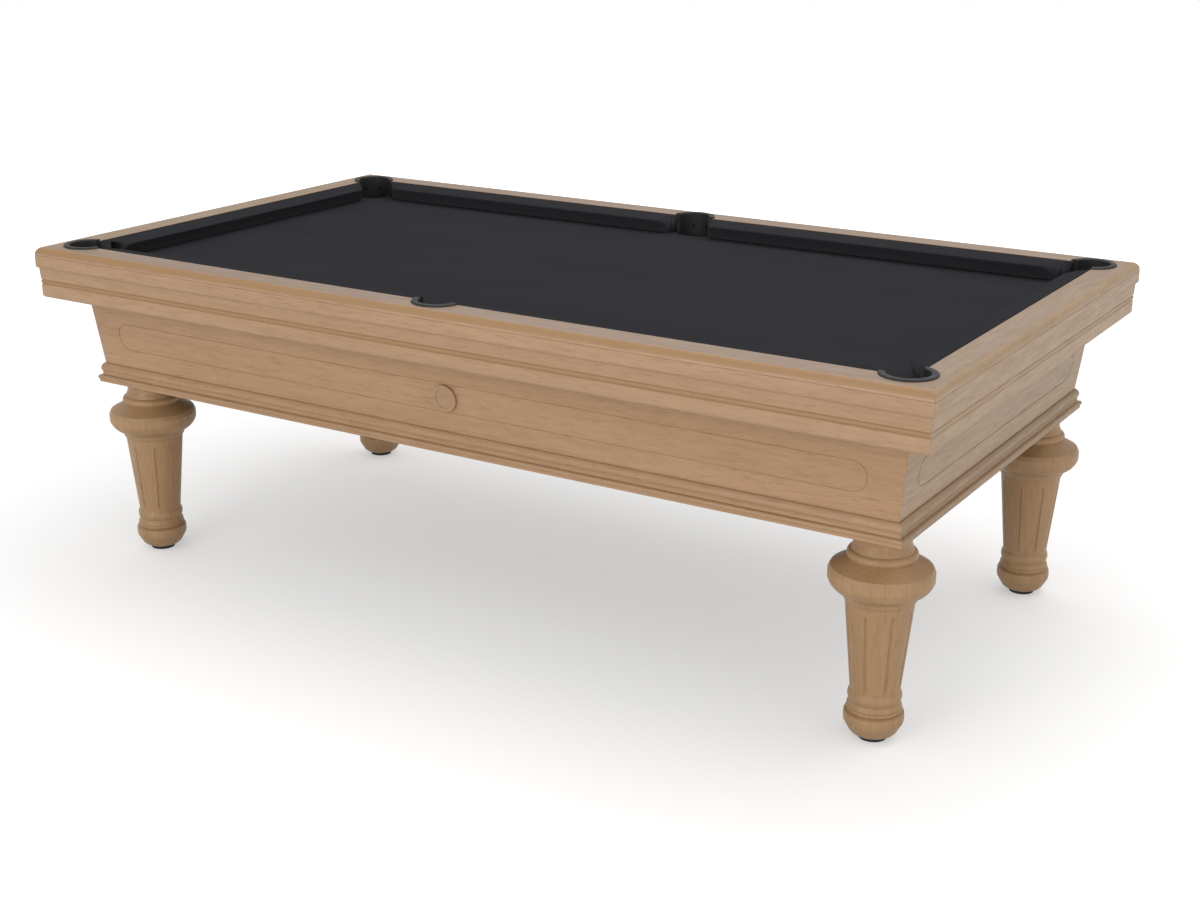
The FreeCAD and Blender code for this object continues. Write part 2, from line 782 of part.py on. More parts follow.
def rail_bolt(index, across, along):
    """A bolt that comes up through the slate into a rail."""
    head_low = f"{SLATE_BOTTOM} - RailBoltHeadHeight"
    bolt = doc.addObject("Part::MultiFuse", f"RailBolt{index}")
    bolt.Shapes = [
        cylinder(
            f"RailBoltHead{index}", "RailBoltHeadRadius", "RailBoltHeadHeight",
            across, along, head_low,
        ),
        cylinder(f"RailBoltShank{index}", "RailBoltRadius", "RailBoltLength", across, along, SLATE_BOTTOM),
    ]
    return bolt


gather("rail_bolts", [rail_bolt(i, *spot) for i, spot in enumerate(rail_bolt_spots, start=1)])

SLATE_THIRD = f"({SLATE_X} / 3)"
slate_screw_spots = [
    (f"{sign}({place})", f"{side}{BEAM_Y}")
    for sign in ("", "-")
    for side in ("", "-")
    for place in (
        f"{SLATE_THIRD} - CrossBeamWidth / 4",
        f"{SLATE_THIRD} + CrossBeamWidth / 4",
        f"{SLATE_X} - SlateMargin - SlateScrewMargin",
    )
]


def slate_screw(index, across, along):
    """A countersunk screw from the slate's face into a beam."""
    shank_low = f"{SLATE_TOP} - SlateScrewLength"
    head = doc.addObject("Part::Cone", f"SlateScrewHead{index}")
    head.setExpression("Radius1", bound("SlateScrewRadius"))
    head.setExpression("Radius2", bound("SlateScrewHeadRadius"))
    head.setExpression("Height", bound("SlateScrewHeadHeight"))
    head.setExpression("Placement.Base.x", bound(across))
    head.setExpression("Placement.Base.y", bound(along))
    head.setExpression("Placement.Base.z", bound(f"{SLATE_TOP} - SlateScrewHeadHeight"))
    length = "SlateScrewLength - SlateScrewHeadHeight"
    shank = cylinder(f"SlateScrewShank{index}", "SlateScrewRadius", length, across, along, shank_low)
    screw = doc.addObject("Part::MultiFuse", f"SlateScrew{index}")
    screw.Shapes = [head, shank]
    return screw


slate_screws = gather(
    "slate_screws",
    [slate_screw(i, *spot) for i, spot in enumerate(slate_screw_spots, start=1)],
)


# Slate bed and its cloth, with the same drops


def draw_middle_drop(sketch, sign):
    """A middle drop in plan: round behind, with a flatter edge towards the field."""
    half_chord = f"sqrt({NOTCH_RADIUS} ^ 2 - MiddleDropDepth ^ 2)"
    centre = f"{sign}(-{MIDDLE_Y}"
    draw(sketch, [
        (f"{sign}(-{half_chord})", f"{centre} + MiddleDropDepth)", NOTCH_RADIUS, 1),
        (f"{sign}(-{NOTCH_RADIUS})", f"{centre})", NOTCH_RADIUS, 1),
        ("0", f"{centre} - {NOTCH_RADIUS})", NOTCH_RADIUS, 1),
        (f"{sign}({NOTCH_RADIUS})", f"{centre})", NOTCH_RADIUS, 1),
        (f"{sign}({half_chord})", f"{centre} + MiddleDropDepth)", "MiddleDropRadius", 1),
    ])


def bed_sheet(name, left, right, low, thickness):
    """A flat sheet from one place to another along X, with the drops and bolt holes inside it."""
    body = new_body(name)
    sketch = new_sketch(body, "XY_Plane", lift=low)
    draw_rectangle(sketch, left, f"-{SLATE_Y}", right, SLATE_Y)
    pad(body, sketch, thickness)
    holes = new_sketch(body, "XY_Plane")
    inside = [
        (across, along, NOTCH_RADIUS)
        for across, along, _, corner in POCKETS.values() if corner
    ]
    inside += [(across, along, "RailBoltRadius + BoltRoom") for across, along in rail_bolt_spots]
    for across, along, radius in inside:
        if size(left) < size(across) < size(right):
            draw_circle(holes, across, along, radius)
    if size(left) < 0 < size(right):
        for sign in ("", "-"):
            draw_middle_drop(holes, sign)
    pocket(body, holes)
    return body


for label, left, right in (
    ("left", f"-{SLATE_X}", f"-{SLATE_THIRD}"),
    ("centre", f"-{SLATE_THIRD}", SLATE_THIRD),
    ("right", SLATE_THIRD, SLATE_X),
):
    plate = bed_sheet(f"Plate{label}", left, right, SLATE_BOTTOM, "SlateThickness")
    add_node(cut(plate, slate_screws, f"slate_{label}"), f"slate_{label}")

bed_cloth = bed_sheet("bed_cloth", f"-{SLATE_X}", SLATE_X, SLATE_TOP, "ClothThickness")
add_node(bed_cloth, "bed_cloth")


# Cabinet: flared aprons with the incised outline, the medallion and the base moulding


def face_sketch(body, face):
    """A sketch on the flared face of a side, measured down from its top edge."""
    return new_sketch(body, "XZ_Plane", lift=face, rise=SLATE_BOTTOM, tilt="FlareAngle")


def apron(label, face, half, turn):
    """One mitred apron board, notched at the top where the boots pass."""
    body = new_body(f"Board{label}", turn=turn)
    level = "(ApronThickness / cos(FlareAngle))"
    drawn_in = f"({FLARE} * CabinetHeight)"
    sketch = new_sketch(body, "YZ_Plane")
    draw(sketch, [
        (f"-{face}", SLATE_BOTTOM),
        (f"-({face} - {drawn_in})", CABINET_BOTTOM),
        (f"-({face} - {drawn_in} - {level})", CABINET_BOTTOM),
        (f"-({face} - {level})", SLATE_BOTTOM),
    ])
    pad(body, sketch, f"2 * {half}", centred=True)
    mitre(body, face, half, f"({drawn_in} + {level})", "0")
    outline = face_sketch(body, face)
    reach = f"{half} - OutlineMargin - OutlineRadius"
    draw_slot(outline, reach, "(OutlineRadius + OutlineWidth / 2)", "(-OutlineDrop)")
    draw_slot(outline, reach, "(OutlineRadius - OutlineWidth / 2)", "(-OutlineDrop)")
    pocket(body, outline, "OutlineDepth")
    return add_node(cut(body, boot_room, f"apron_{label}"), f"apron_{label}")


apron("front", FACE_Y, FACE_X, FRONT)
apron("right", FACE_X, FACE_Y, RIGHT)
apron("back", FACE_Y, FACE_X, BACK)
apron("left", FACE_X, FACE_Y, LEFT)

# Medallion: a plain turned disc with a raised rim, on the front apron
medallion = new_body("medallion")
disc = face_sketch(medallion, FACE_Y)
draw_circle(disc, "0", "-OutlineDrop", "MedallionRadius")
pad(medallion, disc, "MedallionDepth - MedallionDish")
rim = face_sketch(medallion, FACE_Y)
draw_circle(rim, "0", "-OutlineDrop", "MedallionRadius")
draw_circle(rim, "0", "-OutlineDrop", "MedallionRadius - MedallionRim")
pad(medallion, rim, "MedallionDepth")
add_node(medallion, "medallion")


def base_moulding(name, face, half, turn):
    """One mitred length of the moulding: a bulge, a hollow and a rounded lip."""
    body = new_body(name, turn=turn)
    top = f"({CABINET_BOTTOM} + MouldingHeight)"
    board = f"({face} - {FLARE} * (CabinetHeight - MouldingHeight))"
    sketch = new_sketch(body, "YZ_Plane")
    draw(sketch, [
        (f"-{board}", top),
        (f"-({board} + MouldingStep)", top, "MouldingBulgeRadius", 1),
        (f"-({board} + MouldingBulge)", f"{top} - MouldingBulgeDrop", "MouldingHollowRadius", -1),
        (f"-({board} + MouldingHollow)", f"{top} - MouldingHollowDrop"),
        (f"-({board} + MouldingLip)", f"{CABINET_BOTTOM} + MouldingLipTop", "MouldingLipRadius", 1),
        (f"-({board} + MouldingLip)", f"{CABINET_BOTTOM} + MouldingLipBottom"),
        (f"-({board} + MouldingLip)", CABINET_BOTTOM),
        (f"-({board} - {FLARE} * MouldingHeight)", CABINET_BOTTOM),
    ])
    pad(body, sketch, f"2 * {half}", centred=True)
    mitre(body, face, half, f"({FLARE} * CabinetHeight)", "MouldingLip")
    return body


gather("base_moulding", [
    base_moulding("MouldingFront", FACE_Y, FACE_X, FRONT),
    base_moulding("MouldingRight", FACE_X, FACE_Y, RIGHT),
    base_moulding("MouldingBack", FACE_Y, FACE_X, BACK),
    base_moulding("MouldingLeft", FACE_X, FACE_Y, LEFT),
])


# Frame inside the cabinet


def inner_reach(face, drop):
    """How far out the inner face of an apron lies, at a depth below its top."""
    return f"({face} - ApronThickness / cos(FlareAngle) - {FLARE} * ({drop}))"


def long_beam(name, turn):
    """A beam along the table whose ends are bevelled to the end aprons."""
    body = new_body(name, turn=turn)
    sketch = new_sketch(body, "XZ_Plane", lift=BEAM_Y)
    high, low = inner_reach(FACE_X, "0"), inner_reach(FACE_X, "BeamDepth")
    draw(sketch, [
        (f"-{low}", BEAM_BOTTOM),
        (low, BEAM_BOTTOM),
        (high, SLATE_BOTTOM),
        (f"-{high}", SLATE_BOTTOM),
    ])
    pad(body, sketch, "BeamWidth", centred=True)
    return cut(body, slate_screws, f"{name}Bored")


def cross_beam(name, sign):
    """A beam across the table, under the joint of two slates."""
    body = doc.addObject("Part::Box", name)
    body.setExpression("Length", bound("CrossBeamWidth"))
    body.setExpression("Width", bound(f"2 * {BEAM_Y} - BeamWidth"))
    body.setExpression("Height", bound("BeamDepth"))
    body.setExpression("Placement.Base.x", bound(f"{sign}{SLATE_THIRD} - CrossBeamWidth / 2"))
    body.setExpression("Placement.Base.y", bound(f"-({BEAM_Y} - BeamWidth / 2)"))
    body.setExpression("Placement.Base.z", bound(BEAM_BOTTOM))
    return body


gather("long_beams", [long_beam("BeamFront", FRONT), long_beam("BeamBack", BACK)])
gather("cross_beams", [cross_beam("CrossBeamLeft", "-"), cross_beam("CrossBeamRight", "")])

CORNERS = {
    "front_left": ("-", "-"),
    "front_right": ("", "-"),
    "back_right": ("", ""),
    "back_left": ("-", ""),
}


def leg_block(label, across_sign, along_sign):
    """The block over a leg: two faces lie against the flared aprons, and the leg's bolt enters it."""
    body = new_body(f"Block{label}")
    sketches = []
    for level, drop in ((CABINET_BOTTOM, "CabinetHeight"), (BEAM_BOTTOM, "BeamDepth")):
        sketch = new_sketch(body, "XY_Plane", lift=level)
        draw_rectangle(
            sketch,
            f"{across_sign}({LEG_X} - BlockReach)", f"{along_sign}({LEG_Y} - BlockReach)",
            f"{across_sign}{inner_reach(FACE_X, drop)}", f"{along_sign}{inner_reach(FACE_Y, drop)}",
        )
        sketches.append(sketch)
    loft = body.newObject("PartDesign::AdditiveLoft", f"BlockLoft{label}")
    loft.Profile = sketches[0]
    loft.Sections = sketches[1:]
    loft.Ruled = True
    bore = new_sketch(body, "XY_Plane", lift=CABINET_BOTTOM)
    draw_circle(bore, f"{across_sign}{LEG_X}", f"{along_sign}{LEG_Y}", "LegBoltRadius")
    pocket(body, bore, "LegBoltInBlock").Reversed = True
    return body


gather("leg_blocks", [leg_block(label, *signs) for label, signs in CORNERS.items()])
gather("leg_bolts", [
    cylinder(
        f"LegBolt{label}", "LegBoltRadius", "LegBoltInLeg + LegBoltInBlock",
        f"{across_sign}{LEG_X}", f"{along_sign}{LEG_Y}", f"{CABINET_BOTTOM} - LegBoltInLeg",
    )
    for label, (across_sign, along_sign) in CORNERS.items()
])


# Legs: turned, with tapered flutes


def below(drop):
    """A height measured down from the underside of the cabinet."""
    return f"({CABINET_BOTTOM} - {drop})"


def turning(body):
    """The turned form, from the sole up to the cap, with the well for the foot and the bolt's bore."""
    sketch = new_sketch(body, "XZ_Plane")
    draw(sketch, [
        ("InsertRadius", "SoleHeight"),
        ("SoleRadius", "SoleHeight", "AnkleRound", 1),
        ("AnkleRadius", "AnkleHeight"),
        ("FootRadius", "FootBottom", "FootRound", 1),
        ("FootRadius", "FootTop"),
        ("BeadInnerRadius", "BeadOneHeight"),
        ("BeadOneRadius", "(BeadOneHeight + BeadTwoHeight) / 2"),
        ("BeadInnerRadius", "BeadTwoHeight"),
        ("BeadTwoRadius", "(BeadTwoHeight + BeadThreeHeight) / 2"),
        ("BeadInnerRadius", "BeadThreeHeight"),
        ("NeckRadius", "NeckHeight"),
        ("RingRadius", "RingBottom", "RingRound", 1),
        ("RingRadius", "RingTop"),
        ("ShaftLowRadius", "ShaftLowHeight"),
        ("ShaftHighRadius", below("ShaftHighDrop")),
        ("CollarLowRadius", below("CollarLowDrop")),
        ("CollarHighRadius", below("CollarHighDrop")),
        ("BellLowRadius", below("BellLowDrop"), "BellRound", 1),
        ("BellRadius", below("BellBottomDrop")),
        ("BellRadius", below("BellTopDrop")),
        ("ShoulderRadius", below("ShoulderDrop")),
        ("ThroatRadius", below("ThroatDrop"), "TorusRound", 1),
        ("TorusTopRadius", below("TorusTopDrop")),
        ("CoveRadius", below("CoveDrop"), "CoveRound", -1),
        ("CapRadius", below("CapDrop")),
        ("CapRadius", CABINET_BOTTOM),
        ("LegBoltRadius", CABINET_BOTTOM),
        ("LegBoltRadius", below("LegBoltInLeg")),
        ("0", below("LegBoltInLeg")),
        ("0", "StudWellTop"),
        ("StudRadius + StudRoom", "StudWellTop"),
        ("StudRadius + StudRoom", "SoleHeight + InsertLength"),
        ("InsertRadius", "SoleHeight + InsertLength"),
    ])
    revolve(body, sketch)


def flutes(body):
    """Round-bottomed flutes with pointed ends that follow the taper of the shaft, round the leg."""
    shaft_height = f"({below('ShaftHighDrop')} - ShaftLowHeight)"
    taper = f"(ShaftHighRadius - ShaftLowRadius) / {shaft_height}"
    lean = f"atan({taper})"
    surface = "(ShaftLowRadius + FluteLift"
    low_x = f"{surface} + (FluteBottom - ShaftLowHeight) * {taper})"
    high_x = f"{surface} + ({below('FluteTopDrop')} - ShaftLowHeight) * {taper})"
    tip_x, tip_z = f"FluteTip * sin({lean})", f"FluteTip * cos({lean})"
    deep_x, deep_z = f"FluteRadius * cos({lean})", f"FluteRadius * sin({lean})"
    sketch = new_sketch(body, "XZ_Plane")
    draw(sketch, [
        (low_x, "FluteBottom"),
        (f"{low_x} + {tip_x} - {deep_x}", f"FluteBottom + {tip_z} + {deep_z}"),
        (f"{high_x} - {tip_x} - {deep_x}", f"{below('FluteTopDrop')} - {tip_z} + {deep_z}"),
        (high_x, below("FluteTopDrop")),
    ])
    groove = body.newObject("PartDesign::Groove", f"{body.Name}Groove")
    groove.Profile = sketch
    groove.ReferenceAxis = (sketch, ["Edge4"])
    groove.Angle = 360
    pattern = body.newObject("PartDesign::PolarPattern", f"{body.Name}Pattern")
    pattern.Originals = [groove]
    pattern.Axis = (sketch, ["V_Axis"])
    pattern.Angle = 360
    pattern.setExpression("Occurrences", bound("FluteCount"))
    body.Tip = pattern


def foot_stud(label, across, along):
    """The screw of a foot, with the disc that turns inside the pad."""
    body = new_body(f"foot_stud_{label}", across, along)
    sketch = new_sketch(body, "XZ_Plane")
    draw(sketch, [
        ("0", "StudRise"),
        ("DiscRadius", "StudRise"),
        ("DiscRadius", "StudRise + DiscHeight"),
        ("StudRadius", "StudRise + DiscHeight"),
        ("StudRadius", "StudRise + StudLength"),
        ("0", "StudRise + StudLength"),
    ])
    revolve(body, sketch)
    add_node(body, f"foot_stud_{label}")


def foot_pad(label, across, along):
    """The black pad under a leg, closed over the stud's disc."""
    body = new_body(f"foot_pad_{label}", across, along)
    well_low = "StudRise - DiscGap"
    well_high = "StudRise + DiscHeight + DiscGap"
    sketch = new_sketch(body, "XZ_Plane")
    draw(sketch, [
        ("0", "0"),
        ("PadRadius", "0"),
        ("PadRadius", "PadHeight - PadRound"),
        ("PadRadius - PadRound", "PadHeight"),
        ("StudRadius + RunningClearance", "PadHeight"),
        ("StudRadius + RunningClearance", well_high),
        ("DiscRadius + RunningClearance", well_high),
        ("DiscRadius + RunningClearance", well_low),
        ("0", well_low),
    ])
    revolve(body, sketch)
    add_node(body, f"foot_pad_{label}")


def foot_insert(label, across, along):
    """The threaded sleeve in the sole of a leg."""
    body = new_body(f"Insert{label}", across, along)
    sketch = new_sketch(body, "XZ_Plane")
    draw_rectangle(
        sketch, "StudRadius + RunningClearance", "SoleHeight",
        "InsertRadius", "SoleHeight + InsertLength",
    )
    revolve(body, sketch)
    return body


inserts = []
for label, (across_sign, along_sign) in CORNERS.items():
    across, along = f"{across_sign}{LEG_X}", f"{along_sign}{LEG_Y}"
    leg = new_body(f"leg_{label}", across, along)
    turning(leg)
    flutes(leg)
    add_node(leg, f"leg_{label}")
    foot_pad(label, across, along)
    foot_stud(label, across, along)
    inserts.append(foot_insert(label, across, along))
gather("foot_inserts", inserts)


# Check and write

doc.recompute()
for item in doc.Objects:
    if "Invalid" in item.State or "Error" in item.State:
        raise RuntimeError(f"{item.Name} failed: {item.State}")
for node in nodes:
    if node.Shape.isNull() or not node.Shape.isValid():
        raise RuntimeError(f"{node.Label} has no valid shape")
os.makedirs("parts", exist_ok=True)
for node in nodes:
    node.Shape.exportStep(f"parts/{node.Label}.step")
    solids = len(node.Shape.Solids)
    print(f"{node.Label}: {solids} solids, {node.Shape.Volume / 1000:.1f} cm3")
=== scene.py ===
"""The visual model of the billiard table: its cloth, its cushions, its materials and the studio."""

import math

import bmesh
import bpy
from mathutils import Matrix, Vector, geometry


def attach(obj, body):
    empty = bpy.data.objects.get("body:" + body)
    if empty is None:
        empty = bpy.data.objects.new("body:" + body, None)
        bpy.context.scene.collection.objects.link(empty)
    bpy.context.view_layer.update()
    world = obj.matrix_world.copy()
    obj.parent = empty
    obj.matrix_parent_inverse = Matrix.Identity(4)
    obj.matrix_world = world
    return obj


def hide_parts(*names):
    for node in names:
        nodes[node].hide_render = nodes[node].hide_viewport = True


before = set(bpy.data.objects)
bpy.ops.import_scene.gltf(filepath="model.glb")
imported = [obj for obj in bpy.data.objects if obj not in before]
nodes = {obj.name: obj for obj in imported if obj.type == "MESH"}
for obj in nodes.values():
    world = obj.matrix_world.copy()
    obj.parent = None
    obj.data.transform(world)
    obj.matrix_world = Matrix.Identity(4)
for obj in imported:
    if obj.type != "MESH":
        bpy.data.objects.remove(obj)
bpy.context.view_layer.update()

# Units
MM = 0.001

# Sizes that the cloth and the cushions share with the solids, in metres
# What ends in X or Y reaches from the middle of the table, and what ends in Z from the floor
PLAY_X = 1000 * MM
PLAY_Y = 500 * MM
CUSHION_WIDTH = 50 * MM
SLATE_MARGIN = 45 * MM
WOOD_X = PLAY_X + CUSHION_WIDTH
WOOD_Y = PLAY_Y + CUSHION_WIDTH
SLATE_X = WOOD_X + SLATE_MARGIN
SLATE_Y = WOOD_Y + SLATE_MARGIN
BED_Z = 734 * MM
CLOTH = 1 * MM

# Sizes of the pockets in plan
CORNER_CUT = math.radians(45)
CORNER_MOUTH = 86 * MM
CORNER_SETBACK = CORNER_MOUTH / 2 / math.cos(CORNER_CUT)
CORNER_INSET = 14 * MM
MIDDLE_MOUTH = 136 * MM
MIDDLE_THROAT = 98 * MM
MIDDLE_INSET = 5 * MM
NOTCH = 44.3 * MM
MIDDLE_DROP_DEPTH = 23 * MM
MIDDLE_DROP_RADIUS = 146 * MM


# Node helpers

UNSTRETCHED = (1.0, 1.0, 1.0)
NO_SHIFT = (0.0, 0.0, 0.0)
BEVEL_SAMPLES = 4
EDGE_START = 0.99


def srgb(red, green, blue):
    """A colour as the picture shows it, from 0 to 255, turned into linear light."""
    def linear(value):
        share = value / 255
        return share / 12.92 if share <= 0.04045 else ((share + 0.055) / 1.055) ** 2.4
    return linear(red), linear(green), linear(blue), 1.0


class Nodes:
    """A material's node tree, built up call by call."""

    def __init__(self, name):
        self.material = bpy.data.materials.new(name)
        self.material.use_nodes = True
        self.tree = self.material.node_tree
        self.tree.nodes.clear()
        self.output = self.tree.nodes.new("ShaderNodeOutputMaterial")

    def add(self, kind, settings=None, **inputs):
        """A node with its settings, and its inputs set to values or linked to sockets."""
        item = self.tree.nodes.new(f"ShaderNode{kind}")
        for key, value in (settings or {}).items():
            setattr(item, key, value)
        for key, value in inputs.items():
            self.put(item, key, value)
        return item

    def put(self, item, key, value):
        """Sets or links one input, by its name with spaces as underscores, or by i and its number."""
        numbered = key[0] == "i" and key[1:].isdigit()
        socket = item.inputs[int(key[1:])] if numbered else item.inputs[key.replace("_", " ")]
        if isinstance(value, bpy.types.NodeSocket):
            self.tree.links.new(value, socket)
        else:
            socket.default_value = value

    def math(self, operation, first, second=0.0):
        """A number made from two."""
        return self.add("Math", {"operation": operation}, i0=first, i1=second).outputs[0]

    def ramp(self, value, low, high, least=0.0, most=1.0):
        """A number spread from least at low to most at high, with smooth ends."""
        return self.add(
            "MapRange", {"interpolation_type": "SMOOTHSTEP"},
            Value=value, From_Min=low, From_Max=high, To_Min=least, To_Max=most,
        ).outputs[0]

    def spread(self, value, low, high, least, most):
        """A number spread evenly from least at low to most at high."""
        return self.add(
            "MapRange", Value=value, From_Min=low, From_Max=high, To_Min=least, To_Max=most,
        ).outputs[0]

    def mix(self, share, first, second, blend="MIX"):
        """A colour between two."""
        item = self.add("Mix", {"data_type": "RGBA", "blend_type": blend})
        self.put(item, "i0", share)
        self.put(item, "i6", first)
        self.put(item, "i7", second)
        return item.outputs[2]

    def over(self, tone, colour, value, low, high, share):
        """A share of a colour laid over a tone, from none where a number is low to all where it is high."""
        return self.mix(self.math("MULTIPLY", self.ramp(value, low, high), share), tone, colour)

    def tinted(self, tone, tint):
        """A tone multiplied by a tint."""
        return self.mix(1.0, tone, tint, "MULTIPLY")

    def point(self):
        """The point on the part in metres."""
        return self.add("TexCoord").outputs["Object"]

    def place(self, scale=UNSTRETCHED, shift=NO_SHIFT):
        """The point on the part, scaled and shifted."""
        return self.add("Mapping", Vector=self.point(), Location=shift, Scale=scale).outputs[0]

    def facing(self):
        """The normal of the surface."""
        return self.add("NewGeometry").outputs["Normal"]

    def split(self, vector):
        """The three numbers of a vector."""
        return self.add("SeparateXYZ", i0=vector).outputs

    def noise(self, vector, scale, detail, roughness, distortion=0.0):
        """Noise from about 0 to 1."""
        return self.add(
            "TexNoise", Vector=vector, Scale=scale, Detail=detail,
            Roughness=roughness, Distortion=distortion,
        ).outputs[0]

    def edges(self, radius, full):
        """The normal rounded over sharp edges, and how near such an edge is, from 0 to 1."""
        rounded = self.add("Bevel", {"samples": BEVEL_SAMPLES}, Radius=radius).outputs[0]
        turned = self.add("VectorMath", {"operation": "DOT_PRODUCT"}, i0=rounded, i1=self.facing())
        return rounded, self.ramp(turned.outputs["Value"], EDGE_START, full)

    def bump(self, height, strength, distance, normal=None):
        """The normal, leaned by the slope of a height."""
        item = self.add("Bump", Height=height, Strength=strength, Distance=distance)
        if normal is not None:
            self.put(item, "Normal", normal)
        return item.outputs[0]

    def surface(self, tone, **inputs):
        """The finished material, with one principled shader."""
        return self.finish(self.add("BsdfPrincipled", Base_Color=tone, **inputs))

    def finish(self, shader):
        """The finished material, with a shader linked to its output."""
        self.tree.links.new(shader.outputs[0], self.output.inputs[0])
        return self.material


def along(grain, share):
    """The scale that draws a pattern out along one axis."""
    return tuple(share if axis == grain else 1.0 for axis in "xyz")


# Wood

OAK_LIGHT = srgb(184, 150, 117)
OAK_MAIN = srgb(171, 137, 104)
OAK_DARK = srgb(150, 117, 84)
OAK_DASH = srgb(136, 103, 72)
OAK_STAIN = srgb(154, 117, 76)

PLAIN_TINT = (0.885, 0.885, 0.895, 1.0)
MOULDING_TINT = (0.86, 0.825, 0.77, 1.0)
APRON_TINT = (0.9, 0.872, 0.82, 1.0)
LEG_TINT = (0.825, 0.795, 0.685, 1.0)
# Painted shade: the end sides of the table made a little darker and greyer than the long sides, as the
# light falls on them
END_SIDE_PAINTED_SHADE = (0.85, 0.925, 0.98, 1.0)
# Painted light on the rail tops: made darker and greyer than the sides by the way they face up, on the long
# rails and on the end rails
TOP_PAINTED_LIGHT = (0.72, 0.79, 0.96, 1.0)
END_TOP_PAINTED_LIGHT = (0.78, 0.78, 0.82, 1.0)
NO_TINT = (1.0, 1.0, 1.0, 1.0)

# The patterns of the wood: how far each is drawn out along the grain, and its noise
OAK_PATTERNS = {
    "wide": (0.06, {"scale": 14.0, "detail": 3.0, "roughness": 0.5, "distortion": 0.2}),
    "streak": (0.09, {"scale": 120.0, "detail": 4.0, "roughness": 0.6, "distortion": 0.1}),
    "dash": (0.12, {"scale": 260.0, "detail": 3.0, "roughness": 0.6}),
    "fine": (0.04, {"scale": 560.0, "detail": 3.0, "roughness": 0.6}),
}
OAK_FIGURE = {"scale": 16.0, "detail": 3.0, "roughness": 0.5, "distortion": 0.4}

# What lies over the main colour: a pattern, where it starts and is full, its share and its colour
OAK_LAYERS = (
    ("streak", 0.5, 0.66, 0.3, OAK_DARK),
    ("streak", 0.48, 0.34, 0.25, OAK_LIGHT),
    ("dash", 0.56, 0.68, 0.45, OAK_DASH),
    ("fine", 0.52, 0.7, 0.22, OAK_DARK),
    ("figure", 0.52, 0.72, 0.12, OAK_LIGHT),
)
OAK_EVENNESS = 0.8
OAK_ROUNDING = 0.9 * MM
OAK_EDGE_SHARE = 0.3
PORE_SHARE = 0.5
STAIN_BLUR = 0.6 * MM
LONG_STAIN_SHARE = 0.85
END_STAIN_SHARE = 0.3


def stained(made, tone, bands, share):
    """A tone darkened by stain between the heights of each band."""
    height = made.split(made.point())[2]
    for low, high in bands:
        rise = made.ramp(height, low - STAIN_BLUR, low + STAIN_BLUR)
        fall = made.ramp(height, high + STAIN_BLUR, high - STAIN_BLUR)
        band = made.math("MULTIPLY", made.math("MULTIPLY", rise, fall), share)
        tone = made.mix(band, tone, OAK_STAIN)
    return tone


def oak(name, grain, shift, bands=(), tint=PLAIN_TINT, top_painted_light=NO_TINT):
    """Light oak with streaks, short dark dashes and bands of stain, with painted light on the tops and
    painted shade on the end sides where they are asked for.

    Its grain runs along one axis, or along each length of a frame that runs round the table.
    """
    made = Nodes(name)
    normal = made.split(made.facing())
    on_end = made.ramp(made.math("ABSOLUTE", normal[0]), low=0.55, high=0.65)
    # The faces that look up, where painted light is laid on the rail tops
    top_light_mask = made.ramp(normal[2], low=0.9, high=0.99)

    def stretched(share):
        """The point on the part, drawn out along the grain."""
        if grain != "round":
            return made.place(along(grain, share), shift)
        along_x, along_y = (made.place(along(axis, share), shift) for axis in "xy")
        return made.mix(on_end, along_x, along_y)

    patterns = {"figure": made.noise(made.place(shift=shift), **OAK_FIGURE)}
    for label, (share, noise) in OAK_PATTERNS.items():
        patterns[label] = made.noise(stretched(share), **noise)

    tone = made.mix(made.ramp(patterns["wide"], low=0.36, high=0.64), OAK_DARK, OAK_LIGHT)
    tone = made.mix(OAK_EVENNESS, tone, OAK_MAIN)
    for label, low, high, share, colour in OAK_LAYERS:
        tone = made.over(tone, colour, patterns[label], low, high, share)
    tone = stained(made, tone, bands, END_STAIN_SHARE if grain == "y" else LONG_STAIN_SHARE)
    tone = made.tinted(tone, tint)
    # Painted light: the faces that look up are made darker and greyer
    tone = made.mix(top_light_mask, tone, made.tinted(tone, top_painted_light))
    # On the base moulding, painted shade makes the faces that look towards the ends darker and greyer
    if grain == "round":
        tone = made.mix(on_end, tone, made.tinted(tone, END_SIDE_PAINTED_SHADE))
    rounded, edge = made.edges(OAK_ROUNDING, full=0.8)
    tone = made.mix(made.math("MULTIPLY", edge, OAK_EDGE_SHARE), tone, OAK_LIGHT)

    fine, dash = (made.math("MULTIPLY", patterns[label], PORE_SHARE) for label in ("fine", "dash"))
    relief = made.bump(made.math("ADD", fine, dash), strength=0.12, distance=0.4 * MM, normal=rounded)
    gloss = made.spread(patterns["streak"], low=0.3, high=0.7, least=0.42, most=0.55)
    return made.surface(tone, Roughness=gloss, Normal=relief, IOR=1.5)


TIMBER_LIGHT = srgb(205, 174, 128)
TIMBER_RING = srgb(180, 142, 95)
TIMBER_FLECK = srgb(165, 128, 84)
TIMBER_STRETCH = 0.05


def timber(name, grain, shift):
    """Plain pale softwood of the hidden frame."""
    made = Nodes(name)
    point = made.place(along(grain, TIMBER_STRETCH), shift)
    rings = made.noise(point, scale=45.0, detail=3.0, roughness=0.5, distortion=0.8)
    fine = made.noise(point, scale=380.0, detail=3.0, roughness=0.6)
    tone = made.mix(made.ramp(rings, low=0.4, high=0.62), TIMBER_LIGHT, TIMBER_RING)
    tone = made.over(tone, TIMBER_FLECK, fine, low=0.5, high=0.7, share=0.3)
    relief = made.bump(fine, strength=0.2, distance=0.4 * MM)
    return made.surface(tone, Roughness=0.7, Normal=relief)


# Cloth

CLOTH_TONE = srgb(47, 47, 50)
CLOTH_LINT = srgb(49, 49, 52)
# Painted light: the upright sides of the cushions made paler than their tops, against the shade under the
# nose
CUSHION_SIDE_PAINTED_LIGHT = srgb(58, 58, 61)
DRIFT_STRETCH = 0.35
TWILL_SCALE = 2400.0
TWILL_SHARE = 0.12


